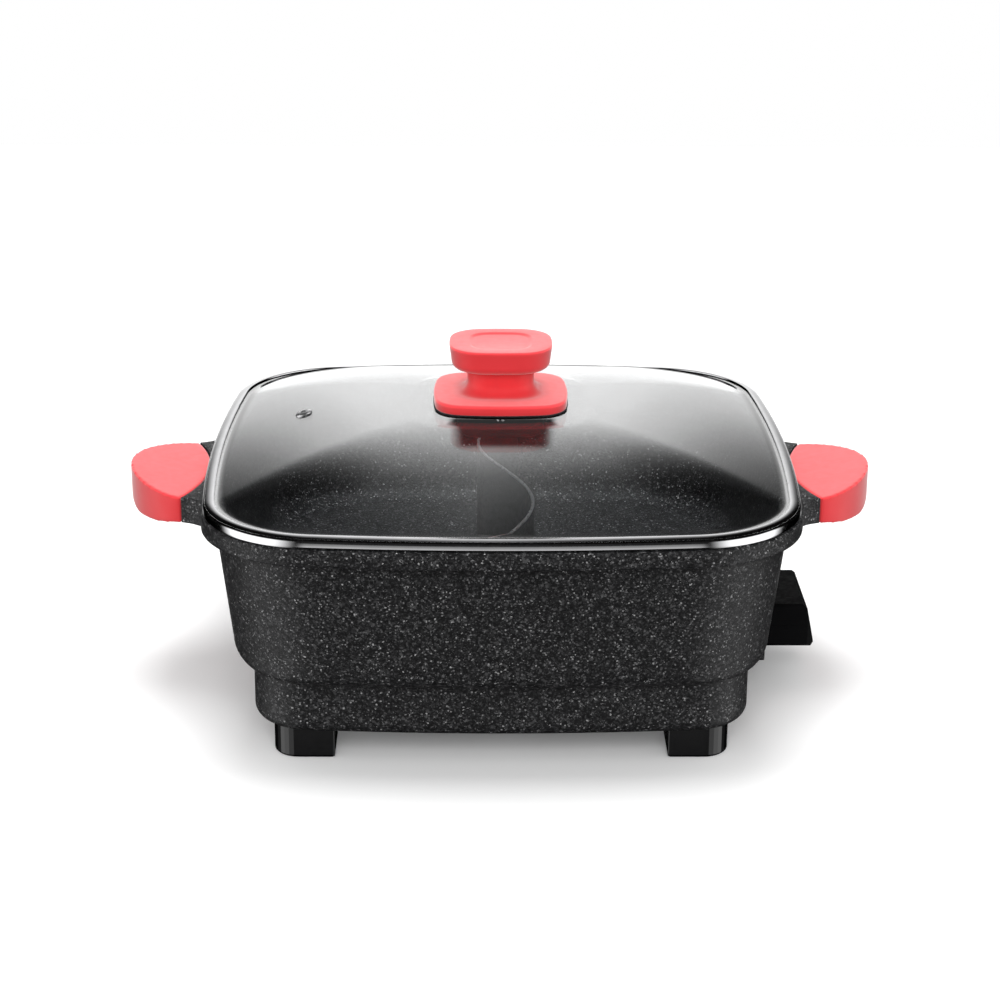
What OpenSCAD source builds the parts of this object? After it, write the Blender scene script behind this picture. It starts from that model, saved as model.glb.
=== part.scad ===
// Electric hot pot with a domed glass lid, standing on four feet, with a plug-in thermostat.
// The origin is on the surface it stands on, under the middle of the pot.
// +X is to the right, -Y to the front and +Z up. All sizes are in millimetres.

/* [Pan] */
// Width across the rim flange
pot_w = 307; // [285:1:330]
// Depth across the rim flange
pot_d = 307; // [285:1:330]
// Corner radius of the rim flange
corner_r = 61; // [54:1:68]
// Corner radius of the wall at its foot
wall_corner_r = 55; // [48:1:60]
// Corner radius of the skirt
skirt_corner_r = 29; // [24:1:36]
// Radius of the slight bow of every side
bow_r = 1050; // [800:10:2000]
// Height of the skirt below the step
skirt_h = 28; // [28:0.5:33]
// How far the step stands out over the skirt
step_out = 10; // [8:0.5:11]
// Height of the rounded lower edge of the wall
step_h = 9; // [7:0.5:10]
// Height of the wall between that edge and the flange
wall_h = 59.5; // [54:0.5:80]
// How far the wall leans out over its height
wall_lean = 7; // [5:0.2:8]
// Thickness of the cast wall
wall_t = 4.5; // [3.5:0.5:6]
// Thickness of the cast floor
floor_t = 5; // [4:0.5:7]
// Radius between the floor and the wall inside
floor_fillet = 14; // [8:1:18]
// How far the rim flange stands out over the wall
flange_out = 7.3; // [6.6:0.1:9.3]
// Height of the rim flange at the wall
flange_h = 10; // [9.5:0.5:13.5]
// Width of the flange top that carries the lid
land_w = 6.5; // [6:0.1:7.5]
// Depth of the seat inside the flange
seat_depth = 4.5; // [4:0.5:7]

/* [Divider] */
// Thickness of the divider
divider_t = 1.6; // [1.2:0.1:3]
// Distance of the divider's top below the rim
divider_drop = 13; // [12:1:30]
// Where the divider crosses the middle, towards the rear
divider_cross = 17; // [-20:1:30]
// Length of the front half wave
divider_front = 117; // [100:1:125]
// Length of the rear half wave
divider_rear = 83; // [80:1:110]
// Swing of the front half wave to the right
divider_swing_front = 16.5; // [8:0.5:30]
// Swing of the rear half wave to the left
divider_swing_rear = 11.5; // [8:0.5:30]

/* [Handles] */
// Distance of the handle's top below the rim
ear_drop = 9.5; // [9:0.5:12]
// Thickness of the cast ear
ear_t = 13.6; // [12:0.2:16]
// Width of the grip
grip_w = 92; // [80:1:100]
// Distance from the flange to the inner corners of the grip
grip_gap = 12; // [11:0.2:17]
// Length of the grip beyond those corners
grip_len = 30.5; // [26:0.1:38]
// How far the grip's inner edge bulges to the pot
grip_bulge = 10.5; // [7:0.5:10.5]
// How far the grip's top rises towards its end
grip_rise = 6; // [3:0.5:8]
// How far the grip's underside droops towards its end
grip_droop = 2; // [1:0.5:6]
// Radius of the grip's lower outer edge
grip_edge_r = 8; // [5:0.5:9]
// Thickness of the silicone above and around the cast tongue
sleeve_t = 3.3; // [2.5:0.2:4.3]

/* [Feet and base] */
// Height of the feet
foot_h = 16.5; // [14:0.5:22]
// Width and depth of a foot
foot_w = 31; // [26:1:36]
// Distance of a foot's outer side from the base plate's edge
foot_in_x = 7.5; // [4:0.5:14]
// Distance of a foot's front or rear side from the base plate's edge
foot_in_y = 5; // [4:0.5:14]
// Radius of a foot's outer corner
foot_corner_r = 13; // [8:1:20]
// Thickness of the base plate
plate_t = 1.5; // [1:0.1:2.5]

/* [Heater] */
// Diameter of the heating element's tube
element_d = 8; // [6.5:0.5:9]
// Distance of the element's loop from the inside of the skirt
element_in = 43; // [38:1:56]
// Bend radius of the element, at the tube's middle
element_bend = 28; // [20:1:36]
// Diameter of a terminal pin
pin_d = 5; // [4:0.5:6]
// Distance between the two terminal pins
pin_pitch = 30; // [26:0.5:33]

/* [Socket and thermostat plug] */
// Height of the plug's middle above the skirt's lower edge
plug_rise = 18; // [17.5:0.5:18.5]
// Width of the plug
plug_w = 54; // [50:1:58]
// Height of the plug
plug_h = 24; // [22:0.5:26]
// Length of the plug's top beyond the socket
plug_len = 21.5; // [19:0.5:40]
// Slope of the plug's outer end from upright
plug_slope = 12; // [4:1:16]
// Radius of the plug's edges
plug_r = 2; // [1.5:0.5:4]
// Wall thickness of the plug's shells
shell_t = 2; // [1.5:0.1:2.2]
// Distance of the nose's sides inside the plug's sides
nose_in = 1.5; // [1:0.1:2.5]
// Depth of the socket
socket_depth = 30; // [26:1:32]
// How far the socket stands out from the skirt
socket_out = 12.5; // [11:0.5:16]
// Side wall of the socket
socket_side = 5; // [4:0.5:7]
// Diameter of the probe
probe_d = 6.4; // [5:0.2:7]
// Length of the probe beyond the nose
probe_len = 50; // [35:1:60]

/* [Dial] */
// Diameter of the dial
dial_d = 18; // [15:0.5:19]
// Depth of the dial
dial_t = 6; // [5:0.5:7]
// Diameter of the dial's shaft
shaft_d = 4; // [3:0.2:5]
// Diameter of the mains lead that the gland takes
lead_d = 7; // [6:0.1:8]

/* [Lid] */
// How far the lid's steel rim stays inside the edge of the flange
lid_margin = 1; // [0:0.1:2]
// Height of the steel rim above the flange
lid_rim_h = 5.6; // [5.6:0.1:8]
// Width of the rim's top face
lid_rim_w = 6; // [5.5:0.1:7.5]
// Thickness of the rim's steel
lid_steel_t = 0.8; // [0.6:0.1:1]
// Thickness of the glass
glass_t = 3.8; // [3.5:0.1:4]
// Rise of the glass from its edge to the flat under the knob
dome_rise = 24.4; // [14:0.2:36]
// Fullness of the dome: 2 is a plain cap, more is flatter on top
dome_full = 2.3; // [2:0.1:4]
// Distance of the steam vent from the side of the lid's rim
vent_in = 47.3; // [35:0.1:70]
// Bore of the steam vent
vent_bore = 3; // [2:0.2:4]

/* [Knob] */
// Width of the knob's flange
knob_flange_w = 72; // [60:1:80]
// Depth of the knob's flange
knob_flange_d = 67; // [54:1:72]
// Height of the knob's flange
knob_flange_h = 5.2; // [4.5:0.1:8]
// Width of the knob's neck
neck_w = 35; // [26:1:40]
// Height of the knob's neck
neck_h = 13.3; // [12:0.1:24]
// Width of the knob's head
head_w = 54; // [44:1:62]
// Depth of the knob's head
head_d = 50; // [40:0.5:58]
// Height of the knob's head
head_h = 13; // [9:0.5:18]
// Depth of the finger dish in the head
dish_depth = 0.8; // [0.4:0.1:2]
// Diameter of the knob's screw
knob_screw_d = 5; // [4:0.5:6]
// Width of the mount under the glass that holds the knob
mount_w = 47; // [36:1:56]
// Height of that mount
mount_h = 13.5; // [8:0.5:14]

/* [Hidden] */
$fn = 48;

// Gap between pieces that touch in one body
seat = 0.1;
// Gap between pieces on different bodies
play = 0.5;
// Overshoot of a cut past the face it opens
cut = 1;
// Points on a corner arc and on half a side of every outline
corner_steps = 7;
side_steps = 3;
// Steps of a rounded edge or fillet in a lofted profile
edge_steps = 4;

// Heights of the pan
skirt_z = foot_h;
step_z = skirt_z + skirt_h;
wall_z = step_z + step_h;
flange_z = wall_z + wall_h;
rim_z = flange_z + flange_h;
base_z = step_z + 3.5;
floor_z = base_z + floor_t;
seat_z = rim_z - seat_depth;
// Insets of the pan's surfaces from the edge of its flange
half_w = pot_w / 2;
half_d = pot_d / 2;
wall_foot_in = flange_out + wall_lean;
skirt_in = wall_foot_in + step_out;
inner_top_in = flange_out + wall_t;
inner_foot_in = wall_foot_in + wall_t;
skirt_edge_r = 6.5;
skirt_t = 3.5;
lip_t = 3;
step_flat = 0.7;
flange_draft = 1;
flange_edge_r = 1.5;

// Base plate, its screws and the feet
plate_z = skirt_z + 0.5;
plate_top = plate_z + plate_t;
plate_in = skirt_in + skirt_edge_r + play;
boss_r = 5.5;
foot_x = half_w - plate_in - foot_in_x - foot_w / 2;
foot_y = half_d - plate_in - foot_in_y - foot_w / 2;
plate_screw_in = 23;
plate_screw_x = half_w - plate_in - plate_screw_in;
plate_screw_y = half_d - plate_in - plate_screw_in;
plate_screws_at = [[0, plate_screw_y], [0, -plate_screw_y], [-plate_screw_x, 0]];
screw_d = 4;
screw_head_d = 7.6;
screw_head_h = 2.2;
foot_recess_d = 10;
foot_recess_h = 8;
screw_bite = 10;
screw_hole = screw_bite + 4;
foot_bevel = 0.8;
foot_pad_in = 6;

// Heating element, seen from above, with its loop shifted away from the socket
element_shift = 6;
element_x = half_w - skirt_in - skirt_t - element_in;
element_y = half_d - skirt_in - skirt_t - element_in;

// Handles
ear_z = rim_z - ear_drop;
grip_x = half_w + grip_gap;
grip_end = grip_x + grip_len;
grip_arc_r = (pow(grip_w / 2, 2) + pow(grip_bulge, 2)) / (2 * grip_bulge);
grip_power = 1.55;
groove = 0.7;
tongue_t = ear_t - 2 * sleeve_t;

// Socket and plug, seen from the outside
plug_z = skirt_z + plug_rise;
socket_x = half_w - skirt_in + socket_out;
socket_floor = socket_x - socket_depth;
socket_back = 4;
socket_w = plug_w - 2 * nose_in + 2 * play + 2 * socket_side;
socket_top = plug_z + plug_h / 2 + 1.9;
socket_bottom = skirt_z - 1.5;
nose_w = plug_w - 2 * nose_in;
nose_h = plug_h - 2 * nose_in;
nose_x = socket_floor + play;
plug_x = socket_x + play;
end_x = plug_x + plug_len + plug_h / 2 * tan(plug_slope);
plug_end_low = plug_x + plug_len + plug_h * tan(plug_slope);
lug_w = 12;
lug_t = 3;
lug_x = socket_floor + 3;
lug_y = socket_w / 2 + lug_w / 2;
pin_back = 8;
pin_reach = 20;
pin_root = socket_floor - pin_back;
pin_tip = socket_floor + pin_reach;
pin_bevel = 1;
sleeve_d = pin_d + 3;
contact_play = 0.3;
holder_x = nose_x + shell_t;
holder_len = 22;
probe_tip = nose_x - probe_len;
guide_d = probe_d + 4;
guide_end = probe_tip - 2;
plug_screw_y = plug_w / 2 - shell_t - 5.2;
plug_screw_x = plug_x + shell_t + 3.5;
plug_post_d = 6;
gland_x = plug_x + 12;
gland_d = lead_d + 4;
gland_flange_d = lead_d + 7;
split = 0.1;

// Dial, in a frame whose Z leaves the plug's sloping end
dial_play = 0.4;
well_depth = dial_t + 0.6;
running_play = 0.05;
bush_d = shaft_d + 4;
bush_len = 4;
switch_len = 8;
shaft_len = bush_len + 3;
pilot_d = 4;
pilot_y = -18;

// Lid
lid_z = rim_z + 0.3;
lid_top = lid_z + lid_rim_h;
lid_play = 0.6;
lid_half_w = half_w - lid_margin;
lid_half_d = half_d - lid_margin;
lid_corner_r = corner_r - lid_margin;
lid_skirt_in = land_w - lid_margin + lid_play;
lid_skirt_h = 3.2;
glass_in = lid_steel_t + 0.4;
glass_z = lid_z + lid_steel_t + seat;
glass_rim_s = 0.955;
glass_flat_s = 0.3;
dome_z = glass_z + glass_t + dome_rise;
glass_w = lid_half_w - glass_in;
glass_d = lid_half_d - glass_in;
glass_r = lid_corner_r - glass_in;
dome_scale = dome_rise / (1 - pow(glass_flat_s / glass_rim_s, dome_full));

// Knob
gasket_t = 0.8;
knob_z = dome_z + gasket_t;
neck_z = knob_z + knob_flange_h;
head_z = neck_z + neck_h;
knob_top = head_z + head_h;
mount_top = dome_z - glass_t;
mount_z = mount_top - mount_h;
mount_d = mount_w * 0.87;
mount_corner_r = 12;
mount_edge_r = 3;
knob_bow = 150;
knob_corner_r = 15;
neck_bow = 110;
neck_corner_r = 12;
neck_flare = 5.5;
head_bow = 120;
head_corner_r = 17;
head_bowl = 5.5;
head_edge_r = 1;
dish_w = 33;
dish_bow = 70;
dish_corner_r = 9;
dish_slope = 1.4;
gasket_out = 1;
knob_screw_head_d = 11;
knob_screw_head_h = 3;
knob_screw_recess = 6;

// Ring of a rectangle with bowed sides and round corners: a quarter, then the whole
function quarter(a, b, r, bow) =
    let (s = a - bow, t = b - bow, q = bow - r, k = s / t, m = (t * t - s * s) / (2 * t),
        qa = 1 + k * k, qb = 2 * m * k - 2 * s, qc = s * s + m * m - q * q,
        cx = (sqrt(qb * qb - 4 * qa * qc) - qb) / (2 * qa), cy = m + k * cx,
        first = atan2(cy, cx - s), last = atan2(cy - t, cx))
    concat(
        [for (i = [0:side_steps - 1]) let (w = first * i / side_steps)
            [s + bow * cos(w), bow * sin(w)]],
        [for (i = [0:corner_steps]) let (w = first + (last - first) * i / corner_steps)
            [cx + r * cos(w), cy + r * sin(w)]],
        [for (i = [1:side_steps]) let (w = last + (90 - last) * i / side_steps)
            [bow * cos(w), t + bow * sin(w)]]);
function outline(a, b, r, bow) =
    let (q = quarter(a, b, r, bow), n = len(q) - 1)
    concat([for (i = [0:n - 1]) q[i]], [for (i = [n:-1:1]) [-q[i].x, q[i].y]],
        [for (i = [0:n - 1]) -q[i]], [for (i = [n:-1:1]) [q[i].x, -q[i].y]]);
function lift(ring, z) = [for (p = ring) [p.x, p.y, z]];

// The pan's outline at an inset from its flange, and the radius of its corners there
function pan_corner(inset) =
    inset < wall_foot_in ? corner_r - (corner_r - wall_corner_r) * inset / wall_foot_in
    : inset < skirt_in ? wall_corner_r
        - (wall_corner_r - skirt_corner_r) * (inset - wall_foot_in) / step_out
    : max(6, skirt_corner_r - (inset - skirt_in));
function pan_outline(inset) =
    outline(half_w - inset, half_d - inset, pan_corner(inset), bow_r);
function pan_ring(p) = lift(pan_outline(p.x), p.y);

// The same for the flange's top, where the corners follow its edge
function flange_ring(p) =
    lift(outline(half_w - p.x, half_d - p.x, corner_r - p.x, bow_r), p.y);

// The same for its inside, where the corners follow the wall
function inner_ring(p) = lift(outline(half_w - p.x, half_d - p.x,
    max(6, wall_corner_r - (p.x - wall_foot_in)), bow_r), p.y);

// The lid's outline at an inset from its rim
function lid_ring(p) =
    lift(outline(lid_half_w - p.x, lid_half_d - p.x, lid_corner_r - p.x, bow_r), p.y);

// Inside of the pan as [inset, height] pairs, from the seat down to the floor
function inner_profile(gap) = let (foot = floor_z + floor_fillet) concat(
    [[inner_top_in + gap, seat_z + gap]],
    [for (i = [0:edge_steps]) let (w = 90 * i / edge_steps)
        [inner_foot_in + floor_fillet * (1 - cos(w)) + gap,
            foot - floor_fillet * sin(w) + gap]]);
// Inset of the straight part of the inner wall at a height
function inner_inset(z) = let (foot = floor_z + floor_fillet)
    inner_foot_in + (inner_top_in - inner_foot_in) * (z - foot) / (seat_z - foot);

// Solid through rings of equal length; an open one is capped, a closed one joins its ends
module loft(rings, closed = false) {
    n = len(rings[0]);
    m = len(rings);
    bands = closed ? m : m - 1;
    polyhedron(
        points = [for (ring = rings) each ring],
        faces = concat(
            [for (j = [0:bands - 1]) for (i = [0:n - 1])
                let (a = j * n, b = (j + 1) % m * n, k = (i + 1) % n)
                each [[a + i, b + i, b + k], [a + i, b + k, a + k]]],
            closed ? [] : [[for (i = [0:n - 1]) i], [for (i = [n - 1:-1:0]) (m - 1) * n + i]]),
        convexity = 8);
}

module at_feet() {
    for (sx = [-1, 1], sy = [-1, 1]) translate([sx * foot_x, sy * foot_y, 0]) children();
}

// A pan-head screw standing on its head's upper face, with its shank upwards
module screw_up(length, head_d = screw_head_d) {
    difference() {
        translate([0, 0, -screw_head_h]) cylinder(d = head_d, h = screw_head_h);
        for (turn = [0, 90]) rotate(turn)
            translate([-head_d / 4, -0.5, -screw_head_h - cut]) cube([head_d / 2, 1, 1 + cut]);
    }
    cylinder(d = screw_d - 2 * seat, h = length);
}

// ---- Pan ----

module pan_casting() {
    loft(concat([for (p = concat(
        // recess under the floor, down to the lip
        [[skirt_in + skirt_t, base_z], [skirt_in + skirt_t, skirt_z + skirt_edge_r + lip_t],
            [skirt_in + skirt_edge_r, skirt_z + lip_t]],
        // rounded lower edge of the skirt
        [for (i = [0:edge_steps]) let (w = 90 * i / edge_steps)
            [skirt_in + skirt_edge_r * (1 - sin(w)), skirt_z + skirt_edge_r * (1 - cos(w))]],
        // rounded lower edge of the wall, over the skirt
        [[skirt_in, step_z]],
        [for (i = [0:edge_steps]) let (w = 90 * i / edge_steps)
            [skirt_in - step_flat - (step_out - step_flat) * sin(w), wall_z - step_h * cos(w)]],
        // underside of the flange, and its edge
        [[flange_out, flange_z]],
        [for (i = [0:3]) let (w = 30 * i)
            [flange_edge_r * (1 - sin(w)),
                flange_z + flange_draft + flange_edge_r * (1 - cos(w))]])) pan_ring(p)],
        [for (p = [[0, rim_z - 0.8], [0.8, rim_z], [land_w - 0.6, rim_z],
            [land_w, rim_z - 0.6], [land_w, seat_z]]) flange_ring(p)],
        [for (p = inner_profile(0)) inner_ring(p)]));
}

// Plan of the ear as far as the groove before the grip
module ear_plan() {
    root = half_w - inner_top_in + 1.6;
    flare = [[root, 15], [root + 4, 11.5], [root + 8.5, 8], [root + 12, 5.5],
        [grip_x - 5.5, 2.2], [grip_x, 0]];
    difference() {
        polygon([for (side = [-1, 1], p = side < 0 ? flare : [for (i = [5:-1:0]) flare[i]])
            [p.x, side * (grip_w / 2 + p.y)]]);
        translate([grip_x - grip_bulge + grip_arc_r - groove, 0])
            circle(r = grip_arc_r, $fn = 96);
    }
}

// Plan of the grip, shrunk by a margin all round
module grip_plan(margin = 0) {
    intersection() {
        polygon([for (i = [-24:24]) let (w = 90 * i / 24)
            [grip_x - margin / 2 + (grip_len - margin / 2) * pow(cos(w), 2 / grip_power),
                (grip_w / 2 - margin) * sin(w)]]);
        translate([grip_x - 30, -grip_w / 2]) square([grip_len + 31, grip_w]);
    }
    intersection() {
        translate([grip_x - grip_bulge + grip_arc_r + margin, 0])
            circle(r = grip_arc_r, $fn = 96);
        translate([grip_x - grip_bulge - cut, -grip_w / 2 + margin])
            square([grip_bulge + cut, grip_w - 2 * margin]);
    }
}

// Cast tongue inside the grip, joined to the ear by a short root
module tongue(gap = 0) {
    translate([0, 0, ear_z - sleeve_t - tongue_t - gap])
        linear_extrude(tongue_t + 2 * gap) {
            grip_plan(sleeve_t + 1 - gap);
            if (gap > 0) grip_plan(sleeve_t + 1);
            translate([half_w, -grip_w / 2 + 3 * sleeve_t - gap])
                square([grip_gap, grip_w - 6 * sleeve_t + 2 * gap]);
        }
}

module ears() {
    for (side = [0, 1]) mirror([side, 0, 0]) {
        translate([0, 0, ear_z - ear_t]) linear_extrude(ear_t) ear_plan();
        tongue();
    }
}

module bosses() {
    at_feet() translate([0, 0, plate_top]) cylinder(r = boss_r, h = base_z - plate_top + 1);
    for (p = plate_screws_at) translate([p.x, p.y, plate_top])
        cylinder(r = boss_r, h = base_z - plate_top + 1);
    for (side = [-1, 1]) translate([lug_x, side * lug_y, plate_top + lug_t])
        cylinder(r = boss_r, h = base_z - plate_top - lug_t + 1);
    // saddle that holds the far end of the probe guide
    translate([guide_end, -guide_d / 2 - 2, plug_z])
        cube([10, guide_d + 4, base_z - plug_z + 1]);
}

module screw_holes() {
    depth = screw_hole;
    at_feet() translate([0, 0, plate_top - cut]) cylinder(d = screw_d, h = depth + cut);
    for (p = plate_screws_at) translate([p.x, p.y, plate_top - cut])
        cylinder(d = screw_d, h = depth + cut);
    for (side = [-1, 1]) translate([lug_x, side * lug_y, plate_top + lug_t - cut])
        cylinder(d = screw_d, h = depth + cut);
}

module socket_cut() {
    low = skirt_z - 2 * cut;
    translate([socket_floor - socket_back - seat, -socket_w / 2 - seat, low])
        cube([60, socket_w + 2 * seat, socket_top + seat - low]);
}

module pan() {
    color([0.13, 0.13, 0.14]) difference() {
        union() {
            pan_casting();
            ears();
            bosses();
        }
        screw_holes();
        socket_cut();
        translate([guide_end - cut, 0, plug_z]) rotate([0, 90, 0])
            cylinder(d = guide_d + 2 * seat, h = 10 + 2 * cut);
    }
}

// ---- Divider ----

function divider_x(y) = y > divider_cross
    ? -divider_swing_rear * sin(180 * (y - divider_cross) / divider_rear)
    : divider_swing_front * sin(180 * (divider_cross - y) / divider_front);

module divider() {
    steps = 56;
    reach = half_d - inner_top_in;
    ys = [for (i = [0:steps]) reach * (2 * i / steps - 1)];
    top = rim_z - divider_drop;
    gap = 0.3;
    inside = concat([[inner_inset(top) + gap, top]],
        [for (p = inner_profile(gap)) if (p.y < top - 10) p]);
    color([0.16, 0.16, 0.17]) intersection() {
        translate([0, 0, floor_z]) linear_extrude(top - floor_z)
            polygon(concat([for (y = ys) [divider_x(y) - divider_t / 2, y]],
                [for (i = [steps:-1:0]) [divider_x(ys[i]) + divider_t / 2, ys[i]]]));
        loft([for (i = [len(inside) - 1:-1:0]) inner_ring(inside[i])]);
    }
}

// ---- Handles ----

module handle_sleeve() {
    low = ear_z - ear_t - 0.2;
    far = low - grip_droop;
    edge = 1.5;
    color([0.86, 0.2, 0.24]) difference() {
        intersection() {
            translate([0, 0, far - cut])
                linear_extrude(ear_z + grip_rise - far + 2 * cut) grip_plan();
            translate([0, grip_w / 2 + cut, 0]) rotate([90, 0, 0])
                linear_extrude(grip_w + 2 * cut)
                    polygon(concat([[grip_x - grip_bulge - cut, ear_z]],
                        [for (i = [0:5]) [grip_x + (grip_len - edge) * i / 5,
                            ear_z + grip_rise * pow(i / 5, 1.3)]],
                        [[grip_end, ear_z + grip_rise - edge]],
                        [for (i = [0:6]) let (w = 90 * i / 6)
                            [grip_end - grip_edge_r * (1 - cos(w)),
                                far + grip_edge_r * (1 - sin(w))]],
                        [[grip_x + 12, far + grip_droop / 4], [grip_x + 2, low],
                            [grip_x - grip_bulge - cut, low]]));
        }
        tongue(seat);
    }
}

module handle_sleeve_right() { handle_sleeve(); }
module handle_sleeve_left() { mirror([1, 0, 0]) handle_sleeve(); }

// ---- Heater ----

module heating_element() {
    z = base_z - element_d / 2 - seat;
    leg_x = element_x - element_bend;
    leg_y = element_y - element_bend;
    end = element_x - element_shift;
    color([0.45, 0.45, 0.46]) translate([-element_shift, 0, z]) {
        // three straight sides, four bends, and two legs that turn to the terminals
        for (y = [-element_y, element_y]) translate([-leg_x, y, 0]) rotate([0, 90, 0])
            cylinder(d = element_d, h = 2 * leg_x);
        translate([-element_x, -leg_y, 0]) rotate([-90, 0, 0])
            cylinder(d = element_d, h = 2 * leg_y);
        for (sx = [-1, 1], sy = [-1, 1]) translate([sx * leg_x, sy * leg_y, 0])
            rotate(sx > 0 ? (sy > 0 ? 0 : -90) : (sy > 0 ? 90 : 180))
                rotate_extrude(angle = 90) translate([element_bend, 0]) circle(d = element_d);
        for (sy = [-1, 1]) translate([element_x, sy * leg_y, 0]) {
            rotate([sy * 90, 0, 0]) cylinder(d = element_d, h = leg_y - pin_pitch / 2);
            translate([0, -sy * (leg_y - pin_pitch / 2), 0]) sphere(d = element_d);
        }
    }
    // drop from the loop to the height of the terminals
    color([0.45, 0.45, 0.46]) for (sy = [-1, 1])
        translate([end, sy * pin_pitch / 2, plug_z]) {
            cylinder(d = element_d, h = z - plug_z);
            sphere(d = element_d);
            rotate([0, 90, 0]) cylinder(d = element_d, h = pin_root - end);
        }
}

module terminal_pins() {
    color([0.75, 0.75, 0.72]) for (sy = [-1, 1])
        translate([pin_root, sy * pin_pitch / 2, plug_z]) rotate([0, 90, 0]) {
            cylinder(d = pin_d, h = pin_tip - pin_root - pin_bevel);
            translate([0, 0, pin_tip - pin_root - pin_bevel])
                cylinder(d1 = pin_d, d2 = pin_d - 2 * pin_bevel, h = pin_bevel);
        }
}

// ---- Socket on the pot ----

module rounded_bar(width, low, high, radius, x0, x1) {
    translate([x0, 0, 0]) rotate([90, 0, 90]) linear_extrude(x1 - x0) {
        for (y = [-1, 1], z = [low + radius, high - radius])
            translate([y * (width / 2 - radius), z]) circle(r = radius);
        translate([-width / 2 + radius, low]) square([width - 2 * radius, high - low]);
        translate([-width / 2, low + radius]) square([width, high - low - 2 * radius]);
    }
}

module terminal_socket() {
    mouth_w = nose_w + 2 * play;
    color([0.07, 0.07, 0.07]) difference() {
        union() {
            rounded_bar(socket_w, socket_bottom, socket_top, 4, socket_floor - socket_back,
                socket_x);
            for (side = [-1, 1]) translate([lug_x - lug_w / 2,
                side * lug_y - lug_w / 2 - (side > 0 ? cut : 0), plate_top + seat])
                cube([lug_w, lug_w + cut, lug_t - seat]);
        }
        rounded_bar(mouth_w, plug_z - nose_h / 2 - play, plug_z + nose_h / 2 + play, 2,
            socket_floor, socket_x + cut);
        // the base plate runs up to the socket's back
        translate([socket_floor - socket_back - cut, -socket_w / 2 - cut, skirt_z - 4])
            cube([socket_back + 5 + cut, socket_w + 2 * cut, plate_top + seat - skirt_z + 4]);
        for (sy = [-1, 1]) translate([socket_floor - socket_back - cut, sy * pin_pitch / 2,
            plug_z]) rotate([0, 90, 0]) cylinder(d = pin_d + 2 * seat, h = socket_back + 2 * cut);
        translate([socket_floor - socket_back - cut, 0, plug_z]) rotate([0, 90, 0])
            cylinder(d = guide_d + 2 * seat, h = socket_back + 2 * cut);
        for (side = [-1, 1]) translate([lug_x, side * lug_y, plate_top - cut])
            cylinder(d = screw_d, h = lug_t + 2 * cut);
    }
}

module socket_screws() {
    color("silver") for (side = [-1, 1]) translate([lug_x, side * lug_y, plate_top])
        cylinder(d = screw_d - 2 * seat, h = lug_t + screw_bite);
}

module probe_guide() {
    color([0.7, 0.7, 0.68]) translate([guide_end, 0, plug_z]) rotate([0, 90, 0]) difference() {
        cylinder(d = guide_d, h = socket_floor - guide_end);
        translate([0, 0, -cut]) cylinder(d = probe_d + 2 * contact_play,
            h = socket_floor - guide_end + 2 * cut);
    }
}

// ---- Base ----

module base_plate() {
    color([0.3, 0.3, 0.31]) difference() {
        translate([0, 0, plate_z]) linear_extrude(plate_t) polygon(pan_outline(plate_in));
        translate([socket_floor + 1 + seat, -socket_w / 2 - play, plate_z - cut])
            cube([60, socket_w + 2 * play, plate_t + 2 * cut]);
        at_feet() translate([0, 0, plate_z - cut]) cylinder(d = screw_d, h = plate_t + 2 * cut);
        for (p = plate_screws_at) translate([p.x, p.y, plate_z - cut])
            cylinder(d = screw_d, h = plate_t + 2 * cut);
        // cooling slots under the heater
        for (x = [-54:12:54], side = [-1, 1]) translate([x - 2, side * 48 - 14, plate_z - cut])
            cube([4, 28, plate_t + 2 * cut]);
    }
}

module base_plate_screws() {
    color("silver") for (p = plate_screws_at) translate([p.x, p.y, plate_z])
        screw_up(plate_t + screw_bite);
}

module foot(sx, sy) {
    // the block ends below the skirt's lip, and a smaller pad reaches the plate
    top = skirt_z - 0.2;
    bevel = foot_bevel;
    module plan(inset) {
        translate([sx * foot_x, sy * foot_y]) scale([sx, sy]) {
            a = foot_w / 2 - inset;
            r = foot_corner_r - inset;
            polygon(concat([[-a, -a], [a, -a]],
                [for (i = [0:8]) let (w = 90 * i / 8)
                    [a - r + r * cos(w), a - r + r * sin(w)]], [[-a, a]]));
        }
    }
    color([0.05, 0.05, 0.05]) difference() {
        union() {
            linear_extrude(bevel) plan(bevel);
            translate([0, 0, bevel]) linear_extrude(top - bevel) plan(0);
            translate([0, 0, bevel]) linear_extrude(plate_z - bevel) plan(foot_pad_in);
        }
        translate([sx * foot_x, sy * foot_y, -cut]) {
            cylinder(d = foot_recess_d, h = foot_recess_h + cut);
            cylinder(d = screw_d, h = plate_z + 2 * cut);
        }
    }
}

module foot_front_left() { foot(-1, -1); }
module foot_front_right() { foot(1, -1); }
module foot_rear_left() { foot(-1, 1); }
module foot_rear_right() { foot(1, 1); }

module foot_screws() {
    color("silver") at_feet() translate([0, 0, foot_recess_h])
        screw_up(plate_top + screw_bite - foot_recess_h);
}

// ---- Lid ----

function glass_height(s) = s > glass_rim_s ? 0
    : s < glass_flat_s ? dome_rise
    : dome_scale * (1 - pow(s / glass_rim_s, dome_full));
function glass_ring(s, drop) = let (z = glass_z + glass_t - drop + glass_height(s))
    [for (p = outline(glass_w, glass_d, glass_r, bow_r)) [p.x * s, p.y * s, z]];

// Height and slope of the glass under the vent
vent_x = lid_half_w - vent_in;
vent_y = 8.5;
vent_s = vent_x / glass_w;
vent_z = glass_z + glass_t + glass_height(vent_s);
vent_tilt = atan(dome_scale * dome_full * pow(vent_s / glass_rim_s, dome_full - 1)
    / (glass_rim_s * glass_w));
vent_flange_d = vent_bore + 5;
vent_tube_d = vent_bore + 2;

module at_vent() {
    translate([-vent_x, vent_y, vent_z]) rotate([0, -vent_tilt, 0]) children();
}

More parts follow.
